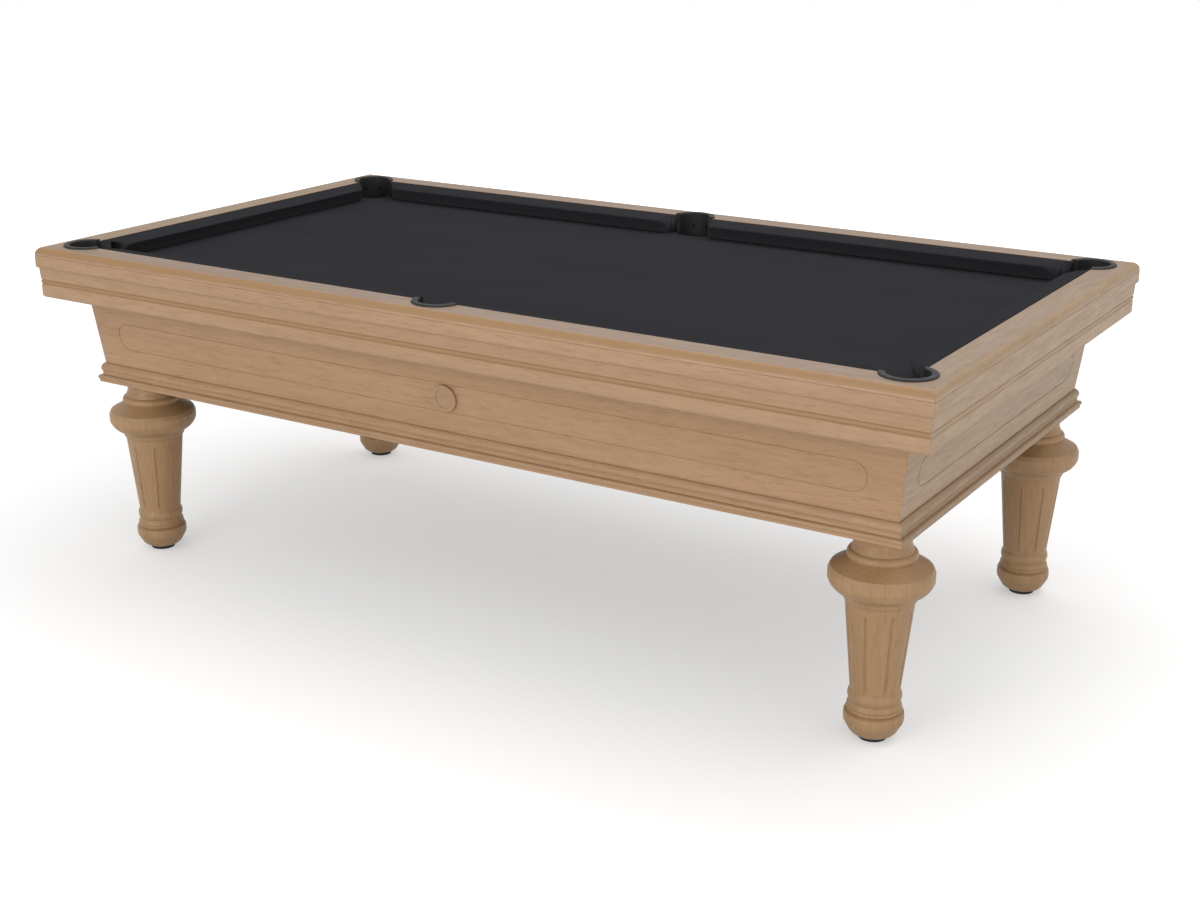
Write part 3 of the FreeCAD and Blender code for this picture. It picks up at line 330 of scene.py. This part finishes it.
def wool(name, colour, lint, side=None):
    """Napped billiard cloth: a fine twill under short fibres, with painted light making its upright sides
    paler if a colour is given.
    """
    made = Nodes(name)
    plain = made.place()
    nap = made.noise(plain, scale=1300.0, detail=3.0, roughness=0.7)
    drift = made.noise(made.place(along("x", DRIFT_STRETCH)), scale=7.0, detail=3.0, roughness=0.5)
    fleck = made.noise(plain, scale=520.0, detail=2.0, roughness=0.6)
    across, inward, upward = made.split(made.place((TWILL_SCALE, TWILL_SCALE, TWILL_SCALE)))
    twill = made.math("SINE", made.math("ADD", made.math("ADD", across, inward), upward))
    tone = made.mix(made.ramp(drift, low=0.3, high=0.7), colour, lint)
    tone = made.over(tone, lint, fleck, low=0.55, high=0.8, share=0.35)
    tone = made.over(tone, lint, nap, low=0.35, high=0.75, share=0.25)
    # Painted light: a given colour makes the upright sides of the cloth paler by the way they face
    if side:
        upright = made.ramp(made.split(made.facing())[2], low=0.9, high=0.3)
        tone = made.mix(upright, tone, side)
    height = made.math("ADD", nap, made.math("MULTIPLY", twill, TWILL_SHARE))
    relief = made.bump(height, strength=0.25, distance=0.3 * MM)
    return made.surface(tone, Roughness=0.95, Normal=relief, Specular_IOR_Level=0.0)


# Plastic, rubber, metal and stone

PLASTIC_ROUNDING = 0.8 * MM
POLISHED = -0.06
SCUFFED = 0.1
DULLED = 0.18
MARK_STRETCH = 6.0
LAYER_STRETCH = 14.0
SLATE_DARK = srgb(72, 76, 80)
SLATE_LIGHT = srgb(96, 99, 101)
SLATE_GRIT = srgb(120, 122, 122)


def moulded(name, colour, worn, rough):
    """Moulded plastic or rubber with a fine cast texture and scuffed edges."""
    made = Nodes(name)
    point = made.place()
    grit = made.noise(point, scale=700.0, detail=3.0, roughness=0.6)
    scuff = made.noise(point, scale=38.0, detail=5.0, roughness=0.6, distortion=0.5)
    rounded, edge = made.edges(PLASTIC_ROUNDING, full=0.85)
    tone = made.over(colour, worn, scuff, low=0.5, high=0.75, share=0.35)
    tone = made.mix(made.math("MULTIPLY", edge, made.ramp(scuff, low=0.35, high=0.65)), tone, worn)
    relief = made.bump(grit, strength=0.15, distance=0.2 * MM, normal=rounded)
    gloss = made.spread(scuff, low=0.35, high=0.7, least=rough + POLISHED, most=rough + SCUFFED)
    return made.surface(tone, Roughness=gloss, Normal=relief)


def metal(name, colour, dull, rough):
    """Turned metal with fine marks and some dulling."""
    made = Nodes(name)
    marks = made.noise(made.place(along("z", MARK_STRETCH)), scale=900.0, detail=2.0, roughness=0.5)
    cloud = made.noise(made.place(), scale=120.0, detail=4.0, roughness=0.6)
    tone = made.mix(made.ramp(cloud, low=0.4, high=0.7), colour, dull)
    gloss = made.spread(cloud, low=0.35, high=0.7, least=rough, most=rough + DULLED)
    relief = made.bump(marks, strength=0.12, distance=0.1 * MM)
    return made.surface(tone, Metallic=1.0, Roughness=gloss, Normal=relief)


def stone(name):
    """Split and ground slate: dark grey with faint layers."""
    made = Nodes(name)
    bedding = made.place(along("z", LAYER_STRETCH))
    layers = made.noise(bedding, scale=18.0, detail=5.0, roughness=0.6, distortion=0.4)
    grit = made.noise(made.place(), scale=420.0, detail=4.0, roughness=0.7)
    tone = made.mix(made.ramp(layers, low=0.35, high=0.65), SLATE_DARK, SLATE_LIGHT)
    tone = made.over(tone, SLATE_GRIT, grit, low=0.5, high=0.75, share=0.3)
    relief = made.bump(grit, strength=0.3, distance=0.3 * MM)
    return made.surface(tone, Roughness=0.75, Normal=relief)


# The solids that stay, with their finishes

SLATES = ("slate_left", "slate_centre", "slate_right")
ALONG_X = ("rail_front", "rail_back", "apron_front", "apron_back", "medallion", "skirts_long")
ALONG_Y = ("rail_right", "rail_left", "apron_right", "apron_left", "skirts_end")
CORNERS = ("front_left", "front_right", "back_right", "back_left")
POCKETS = CORNERS + ("front_middle", "back_middle")
LEGS = tuple(f"leg_{corner}" for corner in CORNERS)

# Bands of stain, each between two heights: on the bullnose of the rails and on the bead of the skirts
RAIL_BANDS = ((764.5 * MM, 777.6 * MM),)
SKIRT_BANDS = ((690 * MM, 701.4 * MM),)

# How far the grain's pattern moves from one node to the next
GRAIN_STEP = (1.7, 2.3, 3.1)


def dress(node, material):
    """Gives every material slot of a solid the same material."""
    mesh = nodes[node].data
    if not mesh.materials:
        mesh.materials.append(material)
    for index in range(len(mesh.materials)):
        mesh.materials[index] = material


def dress_in_oak(node, shift):
    """Gives a solid oak with the grain, the stain, the tints and the painted light and shade of its place.
    """
    grain = "x" if node in ALONG_X else "y" if node in ALONG_Y else "z"
    bands = ()
    # Parts along Y take the painted shade of the end sides instead of a tint of their own
    tint = {"x": PLAIN_TINT, "y": END_SIDE_PAINTED_SHADE, "z": LEG_TINT}[grain]
    top_painted_light = NO_TINT
    if node.startswith("rail"):
        bands = RAIL_BANDS
        # The rail tops get painted light
        top_painted_light = TOP_PAINTED_LIGHT if grain == "x" else END_TOP_PAINTED_LIGHT
    if node.startswith("skirts"):
        bands = SKIRT_BANDS
    if node.startswith("apron") and grain == "x":
        tint = APRON_TINT
    dress(node, oak(f"oak_{node}", grain, shift, bands, tint, top_painted_light))


for order, node in enumerate(ALONG_X + ALONG_Y + LEGS):
    dress_in_oak(node, tuple(step * order for step in GRAIN_STEP))

dress("base_moulding", oak("oak_base_moulding", "round", (4.0, 9.0, 2.0), tint=MOULDING_TINT))
dress("long_beams", timber("timber_long", "x", (0.0, 3.0, 0.0)))
dress("cross_beams", timber("timber_cross", "y", (5.0, 0.0, 0.0)))
dress("leg_blocks", timber("timber_blocks", "z", (0.0, 0.0, 7.0)))

liner_plastic = moulded("liner_plastic", srgb(22, 22, 24), worn=srgb(36, 36, 38), rough=0.62)
boot_plastic = moulded("boot_plastic", srgb(26, 26, 28), worn=srgb(52, 52, 54), rough=0.55)
pad_rubber = moulded("pad_rubber", srgb(22, 22, 22), worn=srgb(60, 58, 56), rough=0.72)
screw_black = metal("screw_black", srgb(52, 50, 48), dull=srgb(34, 33, 32), rough=0.4)
screw_brass = metal("screw_brass", srgb(196, 160, 96), dull=srgb(150, 118, 68), rough=0.28)
bright_steel = metal("bright_steel", srgb(186, 188, 190), dull=srgb(140, 142, 144), rough=0.3)
slate = stone("slate_stone")

for pocket in POCKETS:
    dress(f"pocket_liner_{pocket}", liner_plastic)
    dress(f"pocket_boot_{pocket}", boot_plastic)
for node in SLATES:
    dress(node, slate)
for corner in CORNERS:
    dress(f"foot_pad_{corner}", pad_rubber)
    dress(f"foot_stud_{corner}", bright_steel)
for node in ("rail_bolts", "slate_screws", "leg_bolts"):
    dress(node, bright_steel)
dress("foot_inserts", screw_brass)
dress("pocket_screws", screw_black)


# Pieces of mesh


def new_piece(name, shape, material, smooth=True):
    """A named piece made from a mesh that is being built, with its material."""
    mesh = bpy.data.meshes.new(name)
    shape.to_mesh(mesh)
    shape.free()
    piece = bpy.data.objects.new(name, mesh)
    bpy.context.scene.collection.objects.link(piece)
    mesh.materials.append(material)
    for face in mesh.polygons:
        face.use_smooth = smooth
    return piece


# Bed cloth: one sheet stretched over the slate, turned down into the six drops

cloth_bed = wool("cloth_bed", CLOTH_TONE, CLOTH_LINT)
# The cushions' cloth takes painted light on its upright sides
cloth_cushion = wool("cloth_cushion", CLOTH_TONE, CLOTH_LINT, side=CUSHION_SIDE_PAINTED_LIGHT)

# The fold at the edge of a drop: steps inward and down, then straight down to the full depth
DROP_DEPTH = 13 * MM
DROP_FOLD = ((0.3 * MM, 0.08 * MM), (0.6 * MM, 0.3 * MM), (0.85 * MM, 0.7 * MM), (0.9 * MM, 1.2 * MM))
DROP_STEPS = DROP_FOLD + ((0.9 * MM, DROP_DEPTH),)

# The fold fades out where the edge turns away from the field, over this much of the turn
FOLD_FADE = 0.1

CORNER_STEPS = 64
ROUND_STEPS = 48
FLAT_STEPS = 21
SHEET_GRID = 26 * MM
GRID_MARGIN = 7 * MM
WELD = 0.02 * MM

# The form that the triangulation gives back, and how near two of its points are one
HULL_TRIANGLES = 0
SAME_POINT = 1e-7


def corner_drop(sign_x, sign_y):
    """A corner drop in plan: its centre and the points round its circle."""
    centre_x = sign_x * (WOOD_X - CORNER_INSET)
    centre_y = sign_y * (WOOD_Y - CORNER_INSET)
    points = []
    for step in range(CORNER_STEPS):
        angle = 2 * math.pi * step / CORNER_STEPS
        points.append((centre_x + NOTCH * math.cos(angle), centre_y + NOTCH * math.sin(angle)))
    return (centre_x, centre_y), points


def middle_drop(sign_y):
    """A middle drop in plan: round behind, with a flatter edge towards the field."""
    centre = WOOD_Y - MIDDLE_INSET
    half = math.sqrt(NOTCH ** 2 - MIDDLE_DROP_DEPTH ** 2)
    start = math.atan2(-MIDDLE_DROP_DEPTH, half)
    points = []
    for step in range(ROUND_STEPS + 1):
        angle = start + (math.pi - 2 * start) * step / ROUND_STEPS
        points.append((NOTCH * math.cos(angle), centre + NOTCH * math.sin(angle)))
    chord = math.sqrt(MIDDLE_DROP_RADIUS ** 2 - half ** 2)
    low = centre - MIDDLE_DROP_DEPTH
    for step in range(1, FLAT_STEPS):
        across = -half + 2 * half * step / FLAT_STEPS
        bulge = math.sqrt(MIDDLE_DROP_RADIUS ** 2 - across ** 2) - chord
        points.append((across, low - bulge))
    return (0.0, sign_y * centre), [(x, sign_y * y) for x, y in points]


def inside(point, loop):
    """Whether a point lies in a loop."""
    x, y = point
    crossed = False
    for (ax, ay), (bx, by) in zip(loop, loop[1:] + loop[:1]):
        if (ay > y) != (by > y) and x < (bx - ax) * (y - ay) / (by - ay) + ax:
            crossed = not crossed
    return crossed


def grown(centre, loop, margin):
    """A loop pushed out from its centre."""
    points = []
    for x, y in loop:
        reach = math.hypot(x - centre[0], y - centre[1])
        share = (reach + margin) / reach
        points.append((centre[0] + (x - centre[0]) * share, centre[1] + (y - centre[1]) * share))
    return points


def grid_points(drops):
    """Points spread over the slate, with a margin kept free round each drop."""
    rings = [grown(centre, loop, GRID_MARGIN) for centre, loop in drops]
    across = round(2 * SLATE_X / SHEET_GRID)
    along_y = round(2 * SLATE_Y / SHEET_GRID)
    points = []
    for column in range(across + 1):
        for row in range(along_y + 1):
            spot = (-SLATE_X + 2 * SLATE_X * column / across, -SLATE_Y + 2 * SLATE_Y * row / along_y)
            if not any(inside(spot, ring) for ring in rings):
                points.append(spot)
    return points


def fold_down(shape, above, centre, loop):
    """The edge of one hole, folded down on the side of the field."""
    field = Vector([-math.copysign(1.0, value) if value else 0.0 for value in centre]).normalized()
    for inward, drop in DROP_STEPS:
        below = []
        for x, y in loop:
            away = Vector((x - centre[0], y - centre[1]))
            facing = away.normalized().dot(field)
            share = min(1.0, max(0.0, (facing + FOLD_FADE) / (2 * FOLD_FADE)))
            spot = away * (1 - inward / away.length)
            below.append(shape.verts.new((centre[0] + spot.x, centre[1] + spot.y, BED_Z - drop * share)))
        count = len(loop)
        for step in range(count):
            after = (step + 1) % count
            shape.faces.new((above[step], above[after], below[after], below[step]))
        above = below


def bed_sheet():
    """The cloth over the slate with its six holes, their edges folded down into the drops."""
    drops = [corner_drop(sign_x, sign_y) for sign_x in (-1, 1) for sign_y in (-1, 1)]
    drops += [middle_drop(sign_y) for sign_y in (-1, 1)]
    points = []
    edges = []
    starts = []
    for _, loop in drops:
        first = len(points)
        starts.append(first)
        points += loop
        edges += [(first + step, first + (step + 1) % len(loop)) for step in range(len(loop))]
    points += grid_points(drops)

    flat = [Vector(spot) for spot in points]
    found = geometry.delaunay_2d_cdt(flat, edges, [], HULL_TRIANGLES, SAME_POINT)
    places, _, triangles, origins = found[:4]
    shape = bmesh.new()
    verts = [shape.verts.new((spot[0], spot[1], BED_Z)) for spot in places]
    for triangle in triangles:
        middle = [sum(places[corner][axis] for corner in triangle) / len(triangle) for axis in (0, 1)]
        if not any(inside(middle, loop) for _, loop in drops):
            shape.faces.new([verts[corner] for corner in triangle])

    made_from = {first: verts[number] for number, group in enumerate(origins) for first in group}
    for first, (centre, loop) in zip(starts, drops):
        rim = [made_from[first + step] for step in range(len(loop))]
        fold_down(shape, rim, centre, loop)
    bmesh.ops.remove_doubles(shape, verts=shape.verts, dist=WELD)
    loose = [vert for vert in shape.verts if not vert.link_faces]
    bmesh.ops.delete(shape, geom=loose, context="VERTS")
    return shape


shape = bed_sheet()
bmesh.ops.recalc_face_normals(shape, faces=shape.faces)
bed = new_piece("bed_cloth_sheet", shape, cloth_bed)
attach(bed, "table")
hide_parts("bed_cloth")


# Cushions: rubber under cloth, drawn as the section of the nose swept along the rail

# The section as depths in from the wood and heights above the floor, in millimetres:
# the top, the nose, the undercut, the foot on the bed and the back that leaves room for the wood
CUSHION_SECTION = (
    (0.0, 777.0), (10.0, 776.8), (20.0, 776.6), (34.0, 774.8), (44.0, 772.4),
    (47.8, 771.2), (49.5, 769.6), (50.0, 767.6), (49.2, 765.8), (46.5, 762.4),
    (40.0, 753.2), (33.0, 742.0), (30.6, 736.4), (29.8, 734.6), (24.0, 734.3), (20.0, 734.3),
    (20.0, 755.0), (20.0, 776.0), (0.0, 776.0),
)
SEGMENT = 24 * MM
FLAP_DEPTH = 20.5 * MM
FLAP_LOW = 734.3 * MM
FLAP_TOP = 776.4 * MM

# The sides of a box whose corners are counted along, then in depth, then in height
BOX_SIDES = ((0, 1, 3, 2), (4, 6, 7, 5), (0, 4, 5, 1), (2, 3, 7, 6), (1, 5, 7, 3), (0, 2, 6, 4))


def flaps(shape, ends, half_face, side):
    """The cloth folded over the two cut ends of the wood behind a cushion."""
    for number, sign in enumerate((1, -1)):
        at_corner = side == 0 or (side > 0) == (sign < 0)
        thick = CLOTH / math.cos(CORNER_CUT) if at_corner else CLOTH
        corners = []
        for inward in (0.0, thick):
            for depth in (0.0, FLAP_DEPTH):
                for height in (FLAP_LOW, FLAP_TOP):
                    place = ends(depth)[number] + sign * inward
                    corners.append(shape.verts.new((place, -(half_face - depth), height)))
        for face in BOX_SIDES:
            shape.faces.new([corners[corner] for corner in face])


def cushion(label, half_face, half, turn, side):
    """One cushion, drawn on the front side and turned about Z.

    It fills the whole length where side is 0, and else only the half left or right of a middle pocket.
    """
    section = [(depth * MM, height * MM) for depth, height in CUSHION_SECTION]

    def ends(depth):
        """Where the cushion starts and stops at a depth in from the wood."""
        corner_end = half - CORNER_SETBACK - depth
        middle_end = (MIDDLE_THROAT + (MIDDLE_MOUTH - MIDDLE_THROAT) * depth / CUSHION_WIDTH) / 2
        if side == 0:
            return -corner_end, corner_end
        if side > 0:
            return middle_end, corner_end
        return -corner_end, -middle_end

    length = 2 * half if side == 0 else half
    count = round(length / SEGMENT)
    shape = bmesh.new()
    rings = []
    for step in range(count + 1):
        ring = []
        for depth, height in section:
            low, high = ends(depth)
            ring.append(shape.verts.new((low + (high - low) * step / count, -(half_face - depth), height)))
        rings.append(ring)
    for first, second in zip(rings, rings[1:]):
        for here in range(len(section)):
            there = (here + 1) % len(section)
            shape.faces.new((first[here], first[there], second[there], second[here]))
    shape.faces.new(rings[0][::-1])
    shape.faces.new(rings[-1])
    flaps(shape, ends, half_face, side)
    bmesh.ops.recalc_face_normals(shape, faces=shape.faces)
    bmesh.ops.rotate(shape, verts=shape.verts, matrix=Matrix.Rotation(math.radians(turn), 3, "Z"))
    piece = new_piece(f"cushion_{label}", shape, cloth_cushion)
    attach(piece, "table")
    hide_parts(f"cushion_rubber_{label}", f"cushion_cloth_{label}")


cushion("front_left", WOOD_Y, WOOD_X, turn=0, side=-1)
cushion("front_right", WOOD_Y, WOOD_X, turn=0, side=1)
cushion("right", WOOD_X, WOOD_Y, turn=90, side=0)
cushion("back_right", WOOD_Y, WOOD_X, turn=180, side=-1)
cushion("back_left", WOOD_Y, WOOD_X, turn=180, side=1)
cushion("left", WOOD_X, WOOD_Y, turn=270, side=0)


# Ears of the liners, which close the gap between each liner's wall and the cushions

EAR_INNER = 41 * MM
EAR_OUTER_MIDDLE = 50.2 * MM
EAR_OUTER_CORNER = 44.25 * MM
EAR_THICK = 3 * MM
EAR_REACH = 24.3 * MM
EAR_LOW = 734.3 * MM
EAR_TOP = 778.2 * MM


def liner_ears(label, centre, turn, outer, near, far):
    """Two small plates, one on each side of a pocket, from near to far out from the field."""
    shape = bmesh.new()
    pocket_place = Matrix.Translation((*centre, 0.0)) @ Matrix.Rotation(turn, 4, "Z")
    size = Matrix.Diagonal((outer - EAR_INNER, far - near, EAR_TOP - EAR_LOW, 1.0))
    for side in (-1, 1):
        middle = (side * (EAR_INNER + outer) / 2, (near + far) / 2, (EAR_LOW + EAR_TOP) / 2)
        bmesh.ops.create_cube(shape, size=1.0, matrix=pocket_place @ Matrix.Translation(middle) @ size)
    piece = new_piece(f"liner_ears_{label}", shape, liner_plastic, smooth=False)
    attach(piece, "table")


for row, sign_y in (("front", -1), ("back", 1)):
    outward = 0.0 if sign_y > 0 else math.pi
    centre = (0.0, sign_y * (WOOD_Y - MIDDLE_INSET))
    near = MIDDLE_INSET - EAR_THICK
    liner_ears(f"{row}_middle", centre, outward, EAR_OUTER_MIDDLE, near, far=MIDDLE_INSET)
    for end, sign_x in (("left", -1), ("right", 1)):
        outward = math.atan2(sign_y, sign_x) - math.pi / 2
        centre = (sign_x * (WOOD_X - CORNER_INSET), sign_y * (WOOD_Y - CORNER_INSET))
        liner_ears(f"{row}_{end}", centre, outward, EAR_OUTER_CORNER, near=-EAR_REACH, far=0.0)


# Studio: the camera, a pale floor, a white background and soft lamps

# The camera as solved from the photograph, with its angles in radians and its focus in pixels
CAMERA_PLACE = (2.1686, -3.4010, 1.6388)
CAMERA_YAW = 0.55535
CAMERA_PITCH = 0.320138
CAMERA_ROLL = 0.0029977
FOCAL_PIXELS = 1771.2
IMAGE_WIDTH = 1200
SENSOR_WIDTH = 36.0
CAMERA_REACH = 60.0

FLOOR_HALF = 9.0
FLOOR_TONE = (0.62, 0.62, 0.62, 1.0)
GLOW_NEAR = 2.4
GLOW_FAR = 4.6
GLOW_LEAST = 0.39
GLOW_MOST = 0.85
WHITE = (1.0, 1.0, 1.0, 1.0)
WORLD_STRENGTH = 0.82


def studio_camera():
    """The camera at the photograph's place and angle."""
    data = bpy.data.cameras.new("camera")
    camera = bpy.data.objects.new("camera", data)
    bpy.context.scene.collection.objects.link(camera)
    forward = Vector((
        -math.sin(CAMERA_YAW) * math.cos(CAMERA_PITCH),
        math.cos(CAMERA_YAW) * math.cos(CAMERA_PITCH),
        -math.sin(CAMERA_PITCH),
    ))
    level = forward.cross(Vector((0, 0, 1))).normalized()
    upright = level.cross(forward)
    right = level * math.cos(CAMERA_ROLL) + upright * math.sin(CAMERA_ROLL)
    top = right.cross(forward)
    turned = Matrix((right, top, -forward)).transposed().to_4x4()
    camera.matrix_world = Matrix.Translation(CAMERA_PLACE) @ turned
    data.sensor_width = SENSOR_WIDTH
    data.lens = SENSOR_WIDTH * FOCAL_PIXELS / IMAGE_WIDTH
    data.clip_end = CAMERA_REACH
    bpy.context.scene.camera = camera


def floor_finish():
    """A matt floor that glows white with distance, where the camera or a reflection sees it."""
    made = Nodes("floor")
    path = made.add("LightPath")
    seen = made.math("MAXIMUM", path.outputs["Is Camera Ray"], path.outputs["Is Glossy Ray"])
    matt = made.add("BsdfDiffuse", Color=FLOOR_TONE)
    away = made.add("VectorMath", {"operation": "LENGTH"}, i0=made.place()).outputs["Value"]
    brightness = made.ramp(away, GLOW_NEAR, GLOW_FAR, GLOW_LEAST, GLOW_MOST)
    glow = made.add("Emission", Color=WHITE, Strength=brightness)
    bright = made.add("AddShader", i0=matt.outputs[0], i1=glow.outputs[0])
    return made.finish(made.add("MixShader", i0=seen, i1=matt.outputs[0], i2=bright.outputs[0]))


def studio_floor():
    """The pale floor, which belongs to the studio and not to the table."""
    mesh = bpy.data.meshes.new("floor")
    corners = [(-1, -1), (1, -1), (1, 1), (-1, 1)]
    mesh.from_pydata([(x * FLOOR_HALF, y * FLOOR_HALF, 0) for x, y in corners], [], [(0, 1, 2, 3)])
    floor = bpy.data.objects.new("floor", mesh)
    bpy.context.scene.collection.objects.link(floor)
    mesh.materials.append(floor_finish())


def studio_world():
    """Soft light from all round, seen by the camera as white."""
    world = bpy.data.worlds.new("studio")
    bpy.context.scene.world = world
    world.use_nodes = True
    tree = world.node_tree
    tree.nodes.clear()
    target = tree.nodes.new("ShaderNodeOutputWorld")
    rays = tree.nodes.new("ShaderNodeLightPath")
    choose = tree.nodes.new("ShaderNodeMixShader")
    tree.links.new(rays.outputs["Is Camera Ray"], choose.inputs[0])
    for number, strength in ((1, WORLD_STRENGTH), (2, 1.0)):
        light = tree.nodes.new("ShaderNodeBackground")
        light.inputs["Color"].default_value = WHITE
        light.inputs["Strength"].default_value = strength
        tree.links.new(light.outputs[0], choose.inputs[number])
    tree.links.new(choose.outputs[0], target.inputs[0])


def softbox(name, place, aim, width, height, power):
    """A broad white lamp that looks at a point."""
    data = bpy.data.lights.new(name, "AREA")
    data.shape = "RECTANGLE"
    data.size = width
    data.size_y = height
    data.energy = power
    lamp = bpy.data.objects.new(name, data)
    bpy.context.scene.collection.objects.link(lamp)
    lamp.location = place
    lamp.rotation_euler = (Vector(aim) - Vector(place)).to_track_quat("-Z", "Y").to_euler()


studio_camera()
studio_floor()
studio_world()
softbox("overhead", place=(0.6, 0.8, 4.4), aim=(0.0, 0.0, 0.4), width=4.5, height=3.6, power=80.0)
softbox("front", place=(-0.9, -5.8, 2.4), aim=(0.0, 0.0, 0.5), width=3.6, height=2.2, power=62.0)
softbox("low", place=(0.2, -5.6, 0.7), aim=(0.2, 0.0, 0.35), width=3.6, height=1.1, power=50.0)
softbox("right", place=(5.0, -2.2, 0.75), aim=(0.8, 0.0, 0.35), width=2.4, height=1.2, power=34.0)

bpy.context.scene.view_settings.view_transform = "Standard"
